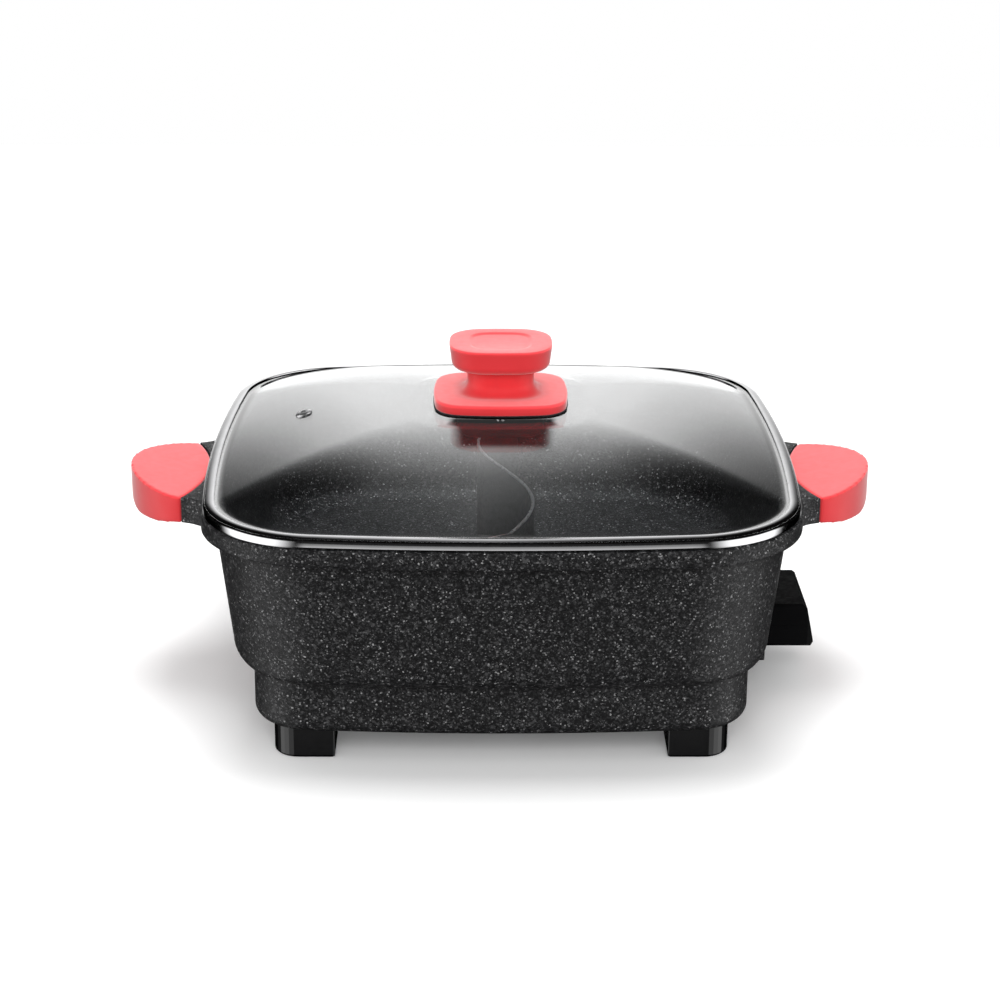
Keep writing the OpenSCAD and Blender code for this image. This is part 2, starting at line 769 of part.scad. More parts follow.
module lid_glass() {
    levels = [0.3, 0.42, 0.54, 0.65, 0.75, 0.84, 0.91, 0.955, 1];
    color([0.6, 0.66, 0.68, 0.5]) difference() {
        loft(concat([for (s = levels) glass_ring(s, glass_t)],
            [for (i = [len(levels) - 1:-1:0]) glass_ring(levels[i], 0)]));
        translate([0, 0, dome_z - glass_t - cut])
            cylinder(d = knob_screw_d + 1, h = glass_t + 2 * cut);
        at_vent() translate([0, 0, -glass_t - 3]) cylinder(d = vent_tube_d + 2 * seat,
            h = glass_t + 6);
    }
}

module lid_rim() {
    t = lid_steel_t;
    skirt = lid_skirt_in;
    color([0.8, 0.8, 0.8]) loft(closed = true, [for (p = [
        [0, lid_z + t], [0, lid_top - t], [t, lid_top], [lid_rim_w, lid_top + 0.1],
        [lid_rim_w, lid_top + 0.1 - t], [t, lid_top - t], [t, lid_z + t],
        [skirt + t, lid_z + t], [skirt + t, lid_z - lid_skirt_h], [skirt, lid_z - lid_skirt_h],
        [skirt, lid_z], [t, lid_z]]) lid_ring(p)]);
}

module steam_vent() {
    color([0.8, 0.8, 0.8]) at_vent() difference() {
        union() {
            translate([0, 0, 0.2]) cylinder(d = vent_flange_d, h = 1);
            translate([0, 0, -glass_t - 0.8]) cylinder(d = vent_tube_d, h = glass_t + 1.8);
            translate([0, 0, -glass_t - 1.2]) cylinder(d = vent_flange_d, h = 0.8);
        }
        translate([0, 0, -glass_t - 2]) cylinder(d = vent_bore, h = glass_t + 4);
    }
}

// ---- Knob ----

module knob_gasket() {
    color([0.1, 0.1, 0.1]) difference() {
        translate([0, 0, dome_z]) linear_extrude(gasket_t)
            polygon(outline(knob_flange_w / 2 + gasket_out, knob_flange_d / 2 + gasket_out,
                knob_corner_r + gasket_out, knob_bow));
        translate([0, 0, dome_z - cut]) cylinder(d = knob_screw_d + 1, h = gasket_t + 2 * cut);
    }
}

module knob_base() {
    edge = 1.6;
    flare = neck_flare;
    neck_d = neck_w * 0.86;
    function flange_ring(inset, z) = lift(outline(knob_flange_w / 2 - inset,
        knob_flange_d / 2 - inset, knob_corner_r - inset, knob_bow), z);
    function neck_ring(grow, z) = lift(outline(neck_w / 2 + grow, neck_d / 2 + grow,
        neck_corner_r + grow * 0.5, neck_bow), z);
    color([0.86, 0.2, 0.24]) difference() {
        loft(concat([flange_ring(0.4, knob_z), flange_ring(0, knob_z + 0.8)],
            [for (i = [0:2]) let (w = 45 * i)
                flange_ring(edge * (1 - cos(w)), neck_z - edge * (1 - sin(w)))],
            [for (i = [0:3]) let (w = 30 * i)
                neck_ring(flare * (1 - sin(w)), neck_z + 0.2 + flare * (1 - cos(w)))],
            [neck_ring(0, head_z)]));
        translate([0, 0, knob_z - cut]) cylinder(d = knob_screw_d, h = neck_h + knob_flange_h);
    }
}

module knob_head() {
    edge = 0.9;
    curve_h = head_h * 0.38;
    function head_ring(inset, z) = lift(outline(head_w / 2 - inset, head_d / 2 - inset,
        head_corner_r - inset * 0.6, head_bow), z);
    function dish_ring(inset, z) = lift(outline(dish_w / 2 - inset, dish_w / 2 - inset,
        dish_corner_r - inset * 0.5, dish_bow), z);
    color([0.86, 0.2, 0.24]) loft(concat(
        [for (i = [0:4]) let (w = 22.5 * i)
            head_ring(head_bowl * (1 - sin(w)) + edge, head_z + curve_h * (1 - cos(w)))],
        [for (i = [0:3]) let (w = 30 * i)
            head_ring(head_edge_r * (1 - cos(w)), knob_top - head_edge_r * (1 - sin(w)))],
        [dish_ring(0, knob_top), dish_ring(dish_slope, knob_top - dish_depth)]));
}

module knob_mount() {
    function mount_ring(inset, z) = lift(outline(mount_w / 2 - inset, mount_d / 2 - inset,
        mount_corner_r - inset, knob_bow), z);
    color([0.07, 0.07, 0.07]) difference() {
        loft(concat([for (i = [0:3]) let (w = 30 * i)
            mount_ring(mount_edge_r * (1 - sin(w)) + 0.6, mount_z + mount_edge_r * (1 - cos(w)))],
            [mount_ring(0, mount_top)]));
        translate([0, 0, mount_z - cut])
            cylinder(d = knob_screw_head_d + 2, h = knob_screw_recess + cut);
        translate([0, 0, mount_z]) cylinder(d = knob_screw_d, h = mount_h + cut);
    }
}

module knob_screw() {
    head_z = mount_z + knob_screw_recess;
    length = knob_z + knob_flange_h + neck_h - 6 - head_z;
    color("silver") translate([0, 0, head_z]) {
        cylinder(d = knob_screw_d - 2 * seat, h = length);
        difference() {
            translate([0, 0, -knob_screw_head_h])
                cylinder(d = knob_screw_head_d, h = knob_screw_head_h);
            for (turn = [0, 90]) rotate(turn) translate([-3, -0.6, -knob_screw_head_h - cut])
                cube([6, 1.2, 1.4 + cut]);
        }
    }
}

// ---- Thermostat plug ----

// Outer form of the plug, shrunk by an inset: a body with a sloping end, and a nose
module plug_form(inset) {
    w = plug_w - 2 * inset;
    r = max(0.5, plug_r - inset);
    low = plug_z - plug_h / 2 + inset;
    high = plug_z + plug_h / 2 - inset;
    shift = inset / cos(plug_slope);
    x0 = plug_x + inset;
    function end_at(z) = plug_x + plug_len + (plug_z + plug_h / 2 - z) * tan(plug_slope) - shift;
    intersection() {
        rounded_bar(w, low, high, r, x0, plug_end_low + cut);
        translate([0, w / 2 + cut, 0]) rotate([90, 0, 0]) linear_extrude(w + 2 * cut)
            polygon([[x0, low], [end_at(low) - r, low], [end_at(low + r), low + r],
                [end_at(high - r), high - r], [end_at(high) - r, high], [x0, high]]);
        translate([0, 0, low - cut]) linear_extrude(high - low + 2 * cut)
            polygon([[x0, -w / 2], [plug_end_low - r - 2, -w / 2],
                [plug_end_low, -w / 2 + r + 1], [plug_end_low, w / 2 - r - 1],
                [plug_end_low - r - 2, w / 2], [x0, w / 2]]);
    }
    rounded_bar(nose_w - 2 * inset, plug_z - nose_h / 2 + inset, plug_z + nose_h / 2 - inset,
        max(0.5, 2 - inset), nose_x + inset, x0 + cut);
}

module on_plug_end() {
    translate([end_x, 0, plug_z]) rotate([0, 90 - plug_slope, 0]) children();
}

module plug_shell() {
    difference() {
        plug_form(0);
        difference() {
            plug_form(shell_t);
            // wall of the dial's well and posts for the screws
            on_plug_end() translate([0, 0, -well_depth - shell_t])
                cylinder(d = dial_d + 2 * dial_play + 2 * shell_t, h = well_depth + shell_t);
            for (side = [-1, 1]) translate([plug_screw_x, side * plug_screw_y, plug_z - plug_h])
                cylinder(d = plug_post_d, h = 2 * plug_h);
        }
        on_plug_end() translate([0, 0, -well_depth])
            cylinder(d = dial_d + 2 * dial_play, h = well_depth + 6);
        on_plug_end() translate([0, 0, -well_depth - shell_t - cut])
            cylinder(d = bush_d + 2 * seat, h = shell_t + 2 * cut);
        on_plug_end() translate([0, pilot_y, -shell_t - 2])
            cylinder(d = pilot_d + 2 * seat, h = shell_t + 6);
        for (sy = [-1, 1]) translate([nose_x - cut, sy * pin_pitch / 2, plug_z])
            rotate([0, 90, 0]) cylinder(d = pin_d + 2 * play, h = shell_t + 2 * cut);
        translate([nose_x - cut, 0, plug_z]) rotate([0, 90, 0])
            cylinder(d = probe_d + 2 * seat, h = shell_t + 2 * cut);
        translate([gland_x, plug_w / 2 - shell_t - cut, plug_z]) rotate([-90, 0, 0])
            cylinder(d = gland_d + 2 * seat, h = shell_t + 2 * cut);
        for (side = [-1, 1]) translate([plug_screw_x, side * plug_screw_y, plug_z - plug_h]) {
            cylinder(d = 2.8, h = plug_h + 7);
            cylinder(d = 4.6, h = plug_h / 2 + 3);
        }
    }
}

module plug_top_shell() {
    color([0.06, 0.06, 0.06]) intersection() {
        plug_shell();
        translate([nose_x - 5, -plug_w, plug_z + split / 2]) cube([90, 2 * plug_w, plug_h]);
    }
}

module plug_bottom_shell() {
    color([0.06, 0.06, 0.06]) intersection() {
        plug_shell();
        translate([nose_x - 5, -plug_w, plug_z - plug_h - split / 2])
            cube([90, 2 * plug_w, plug_h]);
    }
}

module plug_screws() {
    head_z = plug_z - plug_h / 2 + 3;
    color("silver") for (side = [-1, 1])
        translate([plug_screw_x, side * plug_screw_y, head_z]) {
            cylinder(d = 2.6, h = plug_h / 2 + 3);
            translate([0, 0, -1.6]) cylinder(d = 4.2, h = 1.6);
        }
}

module contact_holder() {
    gap = shell_t + seat;
    color([0.75, 0.68, 0.5]) difference() {
        rounded_bar(nose_w - 2 * gap, plug_z - nose_h / 2 + gap, plug_z + nose_h / 2 - gap, 0.5,
            holder_x + seat, holder_x + holder_len);
        for (sy = [-1, 1]) translate([holder_x - cut, sy * pin_pitch / 2, plug_z])
            rotate([0, 90, 0]) cylinder(d = sleeve_d + 2 * seat, h = holder_len + 2 * cut);
        translate([holder_x - cut, 0, plug_z]) rotate([0, 90, 0])
            cylinder(d = probe_d + 2 * seat, h = holder_len + 2 * cut);
    }
}

module contact_sleeves() {
    color([0.8, 0.7, 0.4]) for (sy = [-1, 1])
        translate([holder_x + seat, sy * pin_pitch / 2, plug_z]) rotate([0, 90, 0])
            difference() {
                cylinder(d = sleeve_d, h = holder_len - seat);
                translate([0, 0, -cut]) cylinder(d = pin_d + 2 * contact_play, h = 20 + cut);
            }
}

module probe_rod() {
    nose = probe_d / 2;
    color([0.75, 0.75, 0.75]) translate([probe_tip + nose, 0, plug_z]) {
        rotate([0, 90, 0]) cylinder(d = probe_d, h = holder_x + holder_len - probe_tip - nose);
        sphere(d = probe_d);
    }
}

module thermostat_switch() {
    color([0.3, 0.28, 0.25]) difference() {
        union() {
            on_plug_end() translate([0, 0, -well_depth - shell_t - 1])
                cylinder(d = bush_d, h = shell_t + 0.8);
            intersection() {
                on_plug_end() translate([-7, -9, -well_depth - shell_t - seat - switch_len])
                    cube([14, 18, switch_len]);
                rounded_bar(40, plug_z - plug_h / 2 + shell_t + seat,
                    plug_z + plug_h / 2 - shell_t - seat, 0.5, nose_x, plug_end_low);
            }
        }
        on_plug_end() translate([0, 0, -well_depth - shell_t - 5])
            cylinder(d = shaft_d + 2 * running_play, h = 12);
    }
}

module pilot_lens() {
    color([0.9, 0.45, 0.15]) on_plug_end() translate([0, pilot_y, -shell_t]) {
        translate([0, 0, -0.5]) cylinder(d = pilot_d, h = shell_t + 0.8);
        translate([0, 0, -1]) cylinder(d = pilot_d + 1.6, h = 0.9);
    }
}

module cord_gland() {
    color([0.08, 0.08, 0.08]) translate([gland_x, plug_w / 2, plug_z]) rotate([-90, 0, 0])
        difference() {
            union() {
                translate([0, 0, -shell_t - 1.6]) cylinder(d = gland_d, h = shell_t + 2);
                translate([0, 0, seat]) cylinder(d = gland_flange_d, h = 2);
                translate([0, 0, -shell_t - 1.6]) cylinder(d = gland_flange_d, h = 1.5);
            }
            translate([0, 0, -shell_t - 1.6 - cut]) cylinder(d = lead_d, h = shell_t + 6);
        }
}

// ---- Dial ----

module dial() {
    grip = 3.4;
    dish = 3;
    color([0.1, 0.1, 0.1]) on_plug_end() translate([0, 0, -dial_t]) difference() {
        cylinder(d = dial_d, h = dial_t);
        difference() {
            translate([0, 0, dial_t - dish]) cylinder(d = dial_d - 3, h = dish + cut);
            translate([-dial_d / 2, -grip / 2, 0]) cube([dial_d, grip, dial_t + 2 * cut]);
        }
        translate([0, 0, -cut]) cylinder(d = shaft_d + 2 * seat, h = 2 + cut);
    }
}

module dial_shaft() {
    color([0.7, 0.7, 0.7]) on_plug_end() translate([0, 0, -dial_t + 2 - seat - shaft_len])
        cylinder(d = shaft_d, h = shaft_len);
}

pan();
divider();
handle_sleeve_left();
handle_sleeve_right();
heating_element();
terminal_pins();
terminal_socket();
socket_screws();
probe_guide();
base_plate();
base_plate_screws();
foot_front_left();
foot_front_right();
foot_rear_left();
foot_rear_right();
foot_screws();
lid_glass();
lid_rim();
steam_vent();
knob_gasket();
knob_base();
knob_head();
knob_mount();
knob_screw();
plug_top_shell();
plug_bottom_shell();
plug_screws();
contact_holder();
contact_sleeves();
probe_rod();
thermostat_switch();
pilot_lens();
cord_gland();
dial();
dial_shaft();
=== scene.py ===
"""Square electric hot pot with a domed glass lid.

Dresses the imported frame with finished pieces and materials, lights it and sets the camera.
"""
import math

import bmesh
import bpy
from mathutils import Matrix, Quaternion, Vector


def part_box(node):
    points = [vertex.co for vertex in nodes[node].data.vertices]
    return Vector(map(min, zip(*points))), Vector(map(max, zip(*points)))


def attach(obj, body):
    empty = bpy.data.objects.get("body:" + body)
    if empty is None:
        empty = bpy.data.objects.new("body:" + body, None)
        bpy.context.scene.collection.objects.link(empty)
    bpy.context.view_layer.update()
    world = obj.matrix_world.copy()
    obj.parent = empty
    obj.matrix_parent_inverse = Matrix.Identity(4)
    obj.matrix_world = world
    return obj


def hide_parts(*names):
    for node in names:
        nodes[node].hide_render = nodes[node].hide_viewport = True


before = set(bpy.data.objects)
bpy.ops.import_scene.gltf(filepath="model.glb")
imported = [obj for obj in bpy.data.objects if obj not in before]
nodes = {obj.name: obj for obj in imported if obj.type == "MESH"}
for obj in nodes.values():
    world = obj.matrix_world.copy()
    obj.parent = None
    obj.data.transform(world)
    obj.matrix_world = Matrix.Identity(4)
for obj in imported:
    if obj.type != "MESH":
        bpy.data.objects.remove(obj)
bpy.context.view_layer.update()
MM = 0.001

# ---- Sizes in millimetres, as in the part's source unless a comment says otherwise ----

# Plan: the flange's half sizes, the radius of the bowed sides, and the corners
FLANGE_PROUD = 1.0
HALF_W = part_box("lid_rim")[1][0] / MM + FLANGE_PROUD
HALF_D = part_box("lid_rim")[1][1] / MM + FLANGE_PROUD
BOW = 1050.0
CORNER, WALL_CORNER, SKIRT_CORNER, MIN_CORNER = 61.0, 55.0, 29.0, 6

# Pan: heights, from the skirt's lower edge up to the rim
SKIRT_H, STEP_H, WALL_H = 28.0, 9.0, 59.5
BASE_RISE, FLOOR_RISE, SEAT_DEPTH = 3.5, 8.5, 4.5
RIM_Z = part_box("pan")[1][2] / MM
SKIRT_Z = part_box("pan")[0][2] / MM
STEP_Z = SKIRT_Z + SKIRT_H
WALL_Z = STEP_Z + STEP_H
FLANGE_Z = WALL_Z + WALL_H
BASE_Z, FLOOR_Z = STEP_Z + BASE_RISE, STEP_Z + FLOOR_RISE
SEAT_Z = RIM_Z - SEAT_DEPTH

# Pan: insets from the flange's edge, wall thicknesses and edge radii
FLANGE_OUT, WALL_LEAN, STEP_OUT, STEP_FLAT = 7.3, 7.0, 10.0, 0.7
WALL_T, SKIRT_T, FILLET, LAND = 4.5, 3.5, 14.0, 6.5
SKIRT_EDGE, LIP = 6.5, 3.0
WALL_FOOT_IN = FLANGE_OUT + WALL_LEAN
SKIRT_IN = WALL_FOOT_IN + STEP_OUT
INNER_TOP_IN, INNER_FOOT_IN = FLANGE_OUT + WALL_T, WALL_FOOT_IN + WALL_T
SOCKET_HALF_W = 31.1

# Ears and grips
EAR_DROP, EAR_T, EAR_EDGE = 9.5, 13.6, 1.2
EAR_Z = RIM_Z - EAR_DROP
GRIP_W, GRIP_GAP, GRIP_LEN, GRIP_BULGE = 92.0, 12.0, 30.5, 10.5
GRIP_X = HALF_W + GRIP_GAP
GRIP_R = ((GRIP_W / 2) ** 2 + GRIP_BULGE ** 2) / (2 * GRIP_BULGE)
GRIP_RISE, GRIP_DROOP, GRIP_EDGE, GRIP_POWER = 6.0, 2.0, 8.0, 1.55

# Divider: top below the rim, crossing of the middle, lengths and swings to front and rear
DIVIDER_DROP, DIVIDER_CROSS = 13.0, 17.0
DIVIDER_FRONT, DIVIDER_REAR, SWING_FRONT, SWING_REAR = 117.0, 83.0, 16.5, 11.5

# Lid
LID_W, LID_D = HALF_W - FLANGE_PROUD, HALF_D - FLANGE_PROUD
LID_CORNER = CORNER - FLANGE_PROUD
LID_GAP, RIM_H, RIM_W, STEEL = 0.3, 5.6, 6.0, 0.8
LID_Z = RIM_Z + LID_GAP
GLASS_IN, GLASS_T, GLASS_GAP = 1.2, 3.8, 0.1
GLASS_Z = LID_Z + STEEL + GLASS_GAP
DOME_RISE, DOME_FULL, GLASS_EDGE, GLASS_FLAT = 24.4, 2.3, 0.955, 0.3
DOME_SCALE = DOME_RISE / (1 - (GLASS_FLAT / GLASS_EDGE) ** DOME_FULL)

# Knob; its flange is 1.5 mm narrower and 1 mm less deep than in the part's source
KNOB_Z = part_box("knob_base")[0][2] / MM
HEAD_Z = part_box("knob_head")[0][2] / MM
KNOB_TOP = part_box("knob_head")[1][2] / MM
KNOB_FLANGE_W, KNOB_FLANGE_D, KNOB_FLANGE_H, KNOB_FLANGE_EDGE = 70.5, 66, 5.2, 1.6
KNOB_CORNER, KNOB_BOW = 15, 150
NECK_Z = KNOB_Z + KNOB_FLANGE_H
NECK_W, NECK_DEPTH, NECK_CORNER, NECK_BOW, NECK_FLARE = 35.0, 0.43, 12, 110, 5.5
HEAD_HALF_W, HEAD_HALF_D, HEAD_CORNER, HEAD_BOW = 27, 25, 17, 120
HEAD_BOWL, HEAD_EDGE = 5.5, 1.0
DISH_HALF, DISH_CORNER, DISH_BOW = 16.5, 9, 70

# Steam vent's section: radius and height over the glass, 0.8 mm wider than in the source
VENT_SECTION = ((1.7, -0.6), (1.7, 0.9), (1.9, 1.15), (2.6, 1.2), (3.6, 1.0), (4.2, 0.6),
                (4.4, 0.1), (4.3, -0.3))


# ---- Shapes ----

def outline(a, b, r, bow, sides=12, steps=22):
    """Ring of a rectangle with bowed sides and round corners, anticlockwise from +X.

    a and b are its half sizes, r the corners' radius and bow the radius of the sides.
    """
    s, t, q = a - bow, b - bow, bow - r
    k, m = s / t, (t * t - s * s) / (2 * t)
    qa, qb, qc = 1 + k * k, 2 * m * k - 2 * s, s * s + m * m - q * q
    cx = (math.sqrt(qb * qb - 4 * qa * qc) - qb) / (2 * qa)
    cy = m + k * cx
    first, last = math.atan2(cy, cx - s), math.atan2(cy - t, cx)
    pts = [(s + bow * math.cos(first * i / sides), bow * math.sin(first * i / sides))
           for i in range(sides)]
    for i in range(steps + 1):
        w = first + (last - first) * i / steps
        pts.append((cx + r * math.cos(w), cy + r * math.sin(w)))
    for i in range(1, sides + 1):
        w = last + (math.pi / 2 - last) * i / sides
        pts.append((bow * math.cos(w), t + bow * math.sin(w)))
    n = len(pts) - 1
    return (pts[:n] + [(-x, y) for x, y in pts[n:0:-1]] + [(-x, -y) for x, y in pts[:n]]
            + [(x, -y) for x, y in pts[n:0:-1]])


def raised(ring, z):
    return [(x, y, z) for x, y in ring]


def arc(cx, cz, rx, rz, start, end, steps):
    """Points (inset, height) of an elliptical arc; angles in degrees."""
    return [(cx + rx * math.cos(math.radians(start + (end - start) * i / steps)),
             cz + rz * math.sin(math.radians(start + (end - start) * i / steps)))
            for i in range(steps + 1)]


def smooth_line(points, steps):
    """Points of a smooth curve through the given ones."""
    ends = [points[0]] + list(points) + [points[-1]]
    out = []
    for i in range(1, len(ends) - 2):
        p0, p1, p2, p3 = (Vector(p) for p in ends[i - 1:i + 3])
        for j in range(steps):
            t = j / steps
            out.append(tuple(0.5 * (2 * p1 + (p2 - p0) * t + (2 * p0 - 5 * p1 + 4 * p2 - p3) * t * t
                                    + (3 * p1 - p0 - 3 * p2 + p3) * t ** 3)))
    return out + [tuple(points[-1])]


def shade(mesh, sharp):
    """Smooth faces, with edges sharper than an angle in degrees left sharp."""
    mesh.polygons.foreach_set("use_smooth", [True] * len(mesh.polygons))
    mesh.set_sharp_from_angle(angle=math.radians(sharp))


def new_object(name, verts, faces, sharp=32):
    mesh = bpy.data.meshes.new(name)
    mesh.from_pydata([(x * MM, y * MM, z * MM) for x, y, z in verts], [], faces)
    bm = bmesh.new()
    bm.from_mesh(mesh)
    bmesh.ops.recalc_face_normals(bm, faces=bm.faces)
    bm.to_mesh(mesh)
    bm.free()
    shade(mesh, sharp)
    obj = bpy.data.objects.new(name, mesh)
    bpy.context.collection.objects.link(obj)
    return obj


def loft(name, rings, closed=False, sharp=32):
    """Solid through rings of equal length; an open one is capped."""
    n, m = len(rings[0]), len(rings)
    verts = [p for ring in rings for p in ring]
    faces = []
    for j in range(m if closed else m - 1):
        for i in range(n):
            a, b, k = j * n, (j + 1) % m * n, (i + 1) % n
            faces.append((a + i, b + i, b + k, a + k))
    if not closed:
        faces += [tuple(range(n)), tuple(range(m * n - 1, (m - 1) * n - 1, -1))]
    return new_object(name, verts, faces, sharp)


def prism(name, plan, low, high, axis="Z"):
    """A plan extruded between two heights; with axis Y the plan is in X and Z."""
    n = len(plan)
    put = (lambda p, h: (p[0], p[1], h)) if axis == "Z" else (lambda p, h: (p[0], h, p[1]))
    verts = [put(p, low) for p in plan] + [put(p, high) for p in plan]
    faces = [tuple(range(n)), tuple(range(2 * n - 1, n - 1, -1))]
    faces += [(i, i + n, (i + 1) % n + n, (i + 1) % n) for i in range(n)]
    return new_object(name, verts, faces)


def apply_modifiers(obj, sharp=32):
    graph = bpy.context.evaluated_depsgraph_get()
    mesh = bpy.data.meshes.new_from_object(obj.evaluated_get(graph))
    obj.modifiers.clear()
    obj.data = mesh
    shade(mesh, sharp)


def combine(obj, other, operation):
    """Joins, cuts or intersects an object with another one, which is used up."""
    mod = obj.modifiers.new("cut", "BOOLEAN")
    mod.operation, mod.solver, mod.object = operation, "EXACT", other
    apply_modifiers(obj)
    bpy.data.objects.remove(other)


def bevel(obj, width, segments, angle):
    """Adds a bevel modifier for edges sharper than an angle in degrees."""
    mod = obj.modifiers.new("edge", "BEVEL")
    mod.width, mod.segments, mod.limit_method = width * MM, segments, "ANGLE"
    mod.angle_limit = math.radians(angle)
    return mod


def finish_piece(obj, body, material, replaces):
    obj.data.materials.clear()
    obj.data.materials.append(material)
    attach(obj, body)
    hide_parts(*replaces)


# ---- Materials ----

class Nodes:
    """Short ways to add shader nodes to a tree."""

    def __init__(self, tree):
        self.tree = tree

    def feed(self, socket, value):
        """Links another node's output to a socket, or sets the socket's own value."""
        if isinstance(value, bpy.types.NodeSocket):
            self.tree.links.new(value, socket)
        else:
            socket.default_value = value

    def node(self, kind, inputs=(), **settings):
        node = self.tree.nodes.new(kind)
        for key, value in settings.items():
            setattr(node, key, value)
        for socket, value in dict(inputs).items():
            self.feed(node.inputs[socket], value)
        return node

    def math(self, operation, *values):
        return self.node("ShaderNodeMath", enumerate(values), operation=operation).outputs[0]

    def spread(self, value, low, high, out_low=0.0, out_high=1.0, kind="LINEAR"):
        """Maps low to high onto out_low to out_high, and holds the ends beyond them."""
        return self.node("ShaderNodeMapRange", {"Value": value, "From Min": low, "From Max": high,
                                                "To Min": out_low, "To Max": out_high},
                         interpolation_type=kind).outputs["Result"]

    def step(self, value, start, end, low=0.0, high=1.0):
        """Like spread, but eased at both ends."""
        return self.spread(value, start, end, low, high, "SMOOTHSTEP")

    def ramp(self, value, stops):
        """Colour ramp; stops are (place, colour) in rising order."""
        node = self.node("ShaderNodeValToRGB", {"Fac": value})
        elements = node.color_ramp.elements
        while len(elements) < len(stops):
            elements.new(0.5)
        for element, (place, colour) in zip(elements, stops):
            element.position, element.color = place, colour
        return node.outputs["Color"]


class Look(Nodes):
    """A material with a Principled shader; keywords set the shader's own sockets."""

    def __init__(self, name, **values):
        self.material = bpy.data.materials.new(name)
        self.material.use_nodes = True
        super().__init__(self.material.node_tree)
        self.shader = self.tree.nodes["Principled BSDF"]
        for key, value in values.items():
            self.shader.inputs[key.replace("_", " ")].default_value = value
        self.place = self.node("ShaderNodeTexCoord").outputs["Object"]

    def noise(self, scale, detail=3.0):
        return self.node("ShaderNodeTexNoise", {"Vector": self.place, "Scale": scale,
                                                "Detail": detail}).outputs["Fac"]

    def mix(self, factor, a, b):
        node = self.node("ShaderNodeMix", data_type="RGBA")
        for socket, value in ((0, factor), (6, a), (7, b)):
            self.feed(node.inputs[socket], value)
        return node.outputs[2]

    def drive(self, socket, value):
        self.tree.links.new(value, self.shader.inputs[socket])

    def bump(self, height, distance, strength=1.0):
        node = self.node("ShaderNodeBump", {"Height": height, "Distance": distance * MM,
                                            "Strength": strength})
        self.drive("Normal", node.outputs["Normal"])


def linear(r, g, b):
    """sRGB 0 to 255 to a linear colour."""
    def one(v):
        v /= 255
        return v / 12.92 if v <= 0.04045 else ((v + 0.055) / 1.055) ** 2.4
    return (one(r), one(g), one(b), 1.0)


def flecks(look, cell_mm, share, radius):
    """Mask of uneven flecks: a share of all cells carries one, up to a radius in cell widths."""
    bend = look.node("ShaderNodeTexNoise", {"Vector": look.place, "Scale": 0.8 / (cell_mm * MM),
                                            "Detail": 2.0})
    shift = look.node("ShaderNodeVectorMath", {0: bend.outputs["Color"], 1: (0.5, 0.5, 0.5)},
                      operation="SUBTRACT")
    moved = look.node("ShaderNodeVectorMath", {0: shift.outputs[0], 1: look.place, 2: look.place},
                      operation="MULTIPLY_ADD")
    cells = look.node("ShaderNodeTexVoronoi", {"Vector": moved.outputs[0],
                                               "Scale": 1 / (cell_mm * MM)})
    size = look.node("ShaderNodeSeparateColor", {"Color": cells.outputs["Color"]})
    chosen = look.spread(size.outputs[0], 1 - share, 1 - share * 0.7)
    reach = look.spread(size.outputs[1], 0, 1, radius * 0.35, radius)
    inside = look.math("SUBTRACT", reach, cells.outputs["Distance"])
    return look.math("MULTIPLY", look.spread(inside, 0, radius * 0.3), chosen)


def grains(look, cell_mm, levels):
    """Uneven grains of one grey each, and a second random value for each grain.

    Levels are (share of the grains, sRGB grey) from the darkest.
    """
    cells = look.node("ShaderNodeTexVoronoi", {"Vector": look.place, "Scale": 1 / (cell_mm * MM)})
    split = look.node("ShaderNodeSeparateColor", {"Color": cells.outputs["Color"]})
    greys = [(share, linear(grey, grey, grey + 1)) for share, grey in levels]
    return look.ramp(split.outputs[0], greys), split.outputs[1]


def granite():
    """Dark stone-look coating: two sizes of grains, with a few pale flecks."""
    look = Look("granite_coating", Roughness=0.42, Specular_IOR_Level=0.23)
    fine, other = grains(look, 0.68, [(0.0, 4), (0.25, 12), (0.5, 24), (0.75, 42), (0.9, 68),
                                      (0.96, 98), (0.99, 150), (1.0, 205)])
    wide, _ = grains(look, 1.25, [(0.0, 8), (0.4, 17), (0.7, 32), (0.9, 60), (1.0, 120)])
    colour = look.mix(0.3, fine, wide)
    look.drive("Base Color", look.mix(flecks(look, 3.2, 0.2, 0.19), colour, linear(190, 190, 190)))
    look.drive("Roughness", look.spread(other, 0, 1, 0.38, 0.58))
    look.bump(look.math("ADD", look.noise(1400, 2), other), 0.05, 0.6)
    return look.material


def silicone():
    look = Look("red_silicone", Roughness=0.42, Specular_IOR_Level=0.4, Sheen_Weight=0.6,
                Sheen_Roughness=0.45)
    tone = look.spread(look.noise(45, 2), 0.3, 0.7)
    look.drive("Base Color", look.mix(tone, linear(236, 52, 58), linear(241, 58, 64)))
    look.drive("Roughness", look.spread(look.noise(260), 0.3, 0.7, 0.38, 0.48))
    look.bump(look.noise(1800, 2), 0.02, 0.4)
    return look.material


def steel(name, colour, rough, coarse=0.0):
    """Metal with slight patches; coarse is the strength of its fine bumps."""
    look = Look(name, Metallic=1.0, Roughness=rough)
    tone = look.spread(look.noise(90, 2), 0.3, 0.7)
    dark = tuple(v * 0.93 for v in colour[:3]) + (1.0,)
    look.drive("Base Color", look.mix(tone, dark, colour))
    look.drive("Roughness", look.spread(look.noise(700), 0.3, 0.7, rough * 0.8, rough * 1.25))
    if coarse:
        look.bump(look.noise(1200), 0.02, coarse)
    return look.material


def plastic(name, colour, rough, grain=0.3, specular=0.5):
    """Moulded plastic or rubber; grain is the strength of its fine bumps."""
    look = Look(name, Roughness=rough, Specular_IOR_Level=specular)
    tone = look.spread(look.noise(70, 2), 0.3, 0.7)
    dark = tuple(v * 0.86 for v in colour[:3]) + (1.0,)
    look.drive("Base Color", look.mix(tone, dark, colour))
    look.drive("Roughness", look.spread(look.noise(420), 0.3, 0.7, rough * 0.85, rough * 1.2))
    look.bump(look.noise(1600, 2), 0.02, grain)
    return look.material


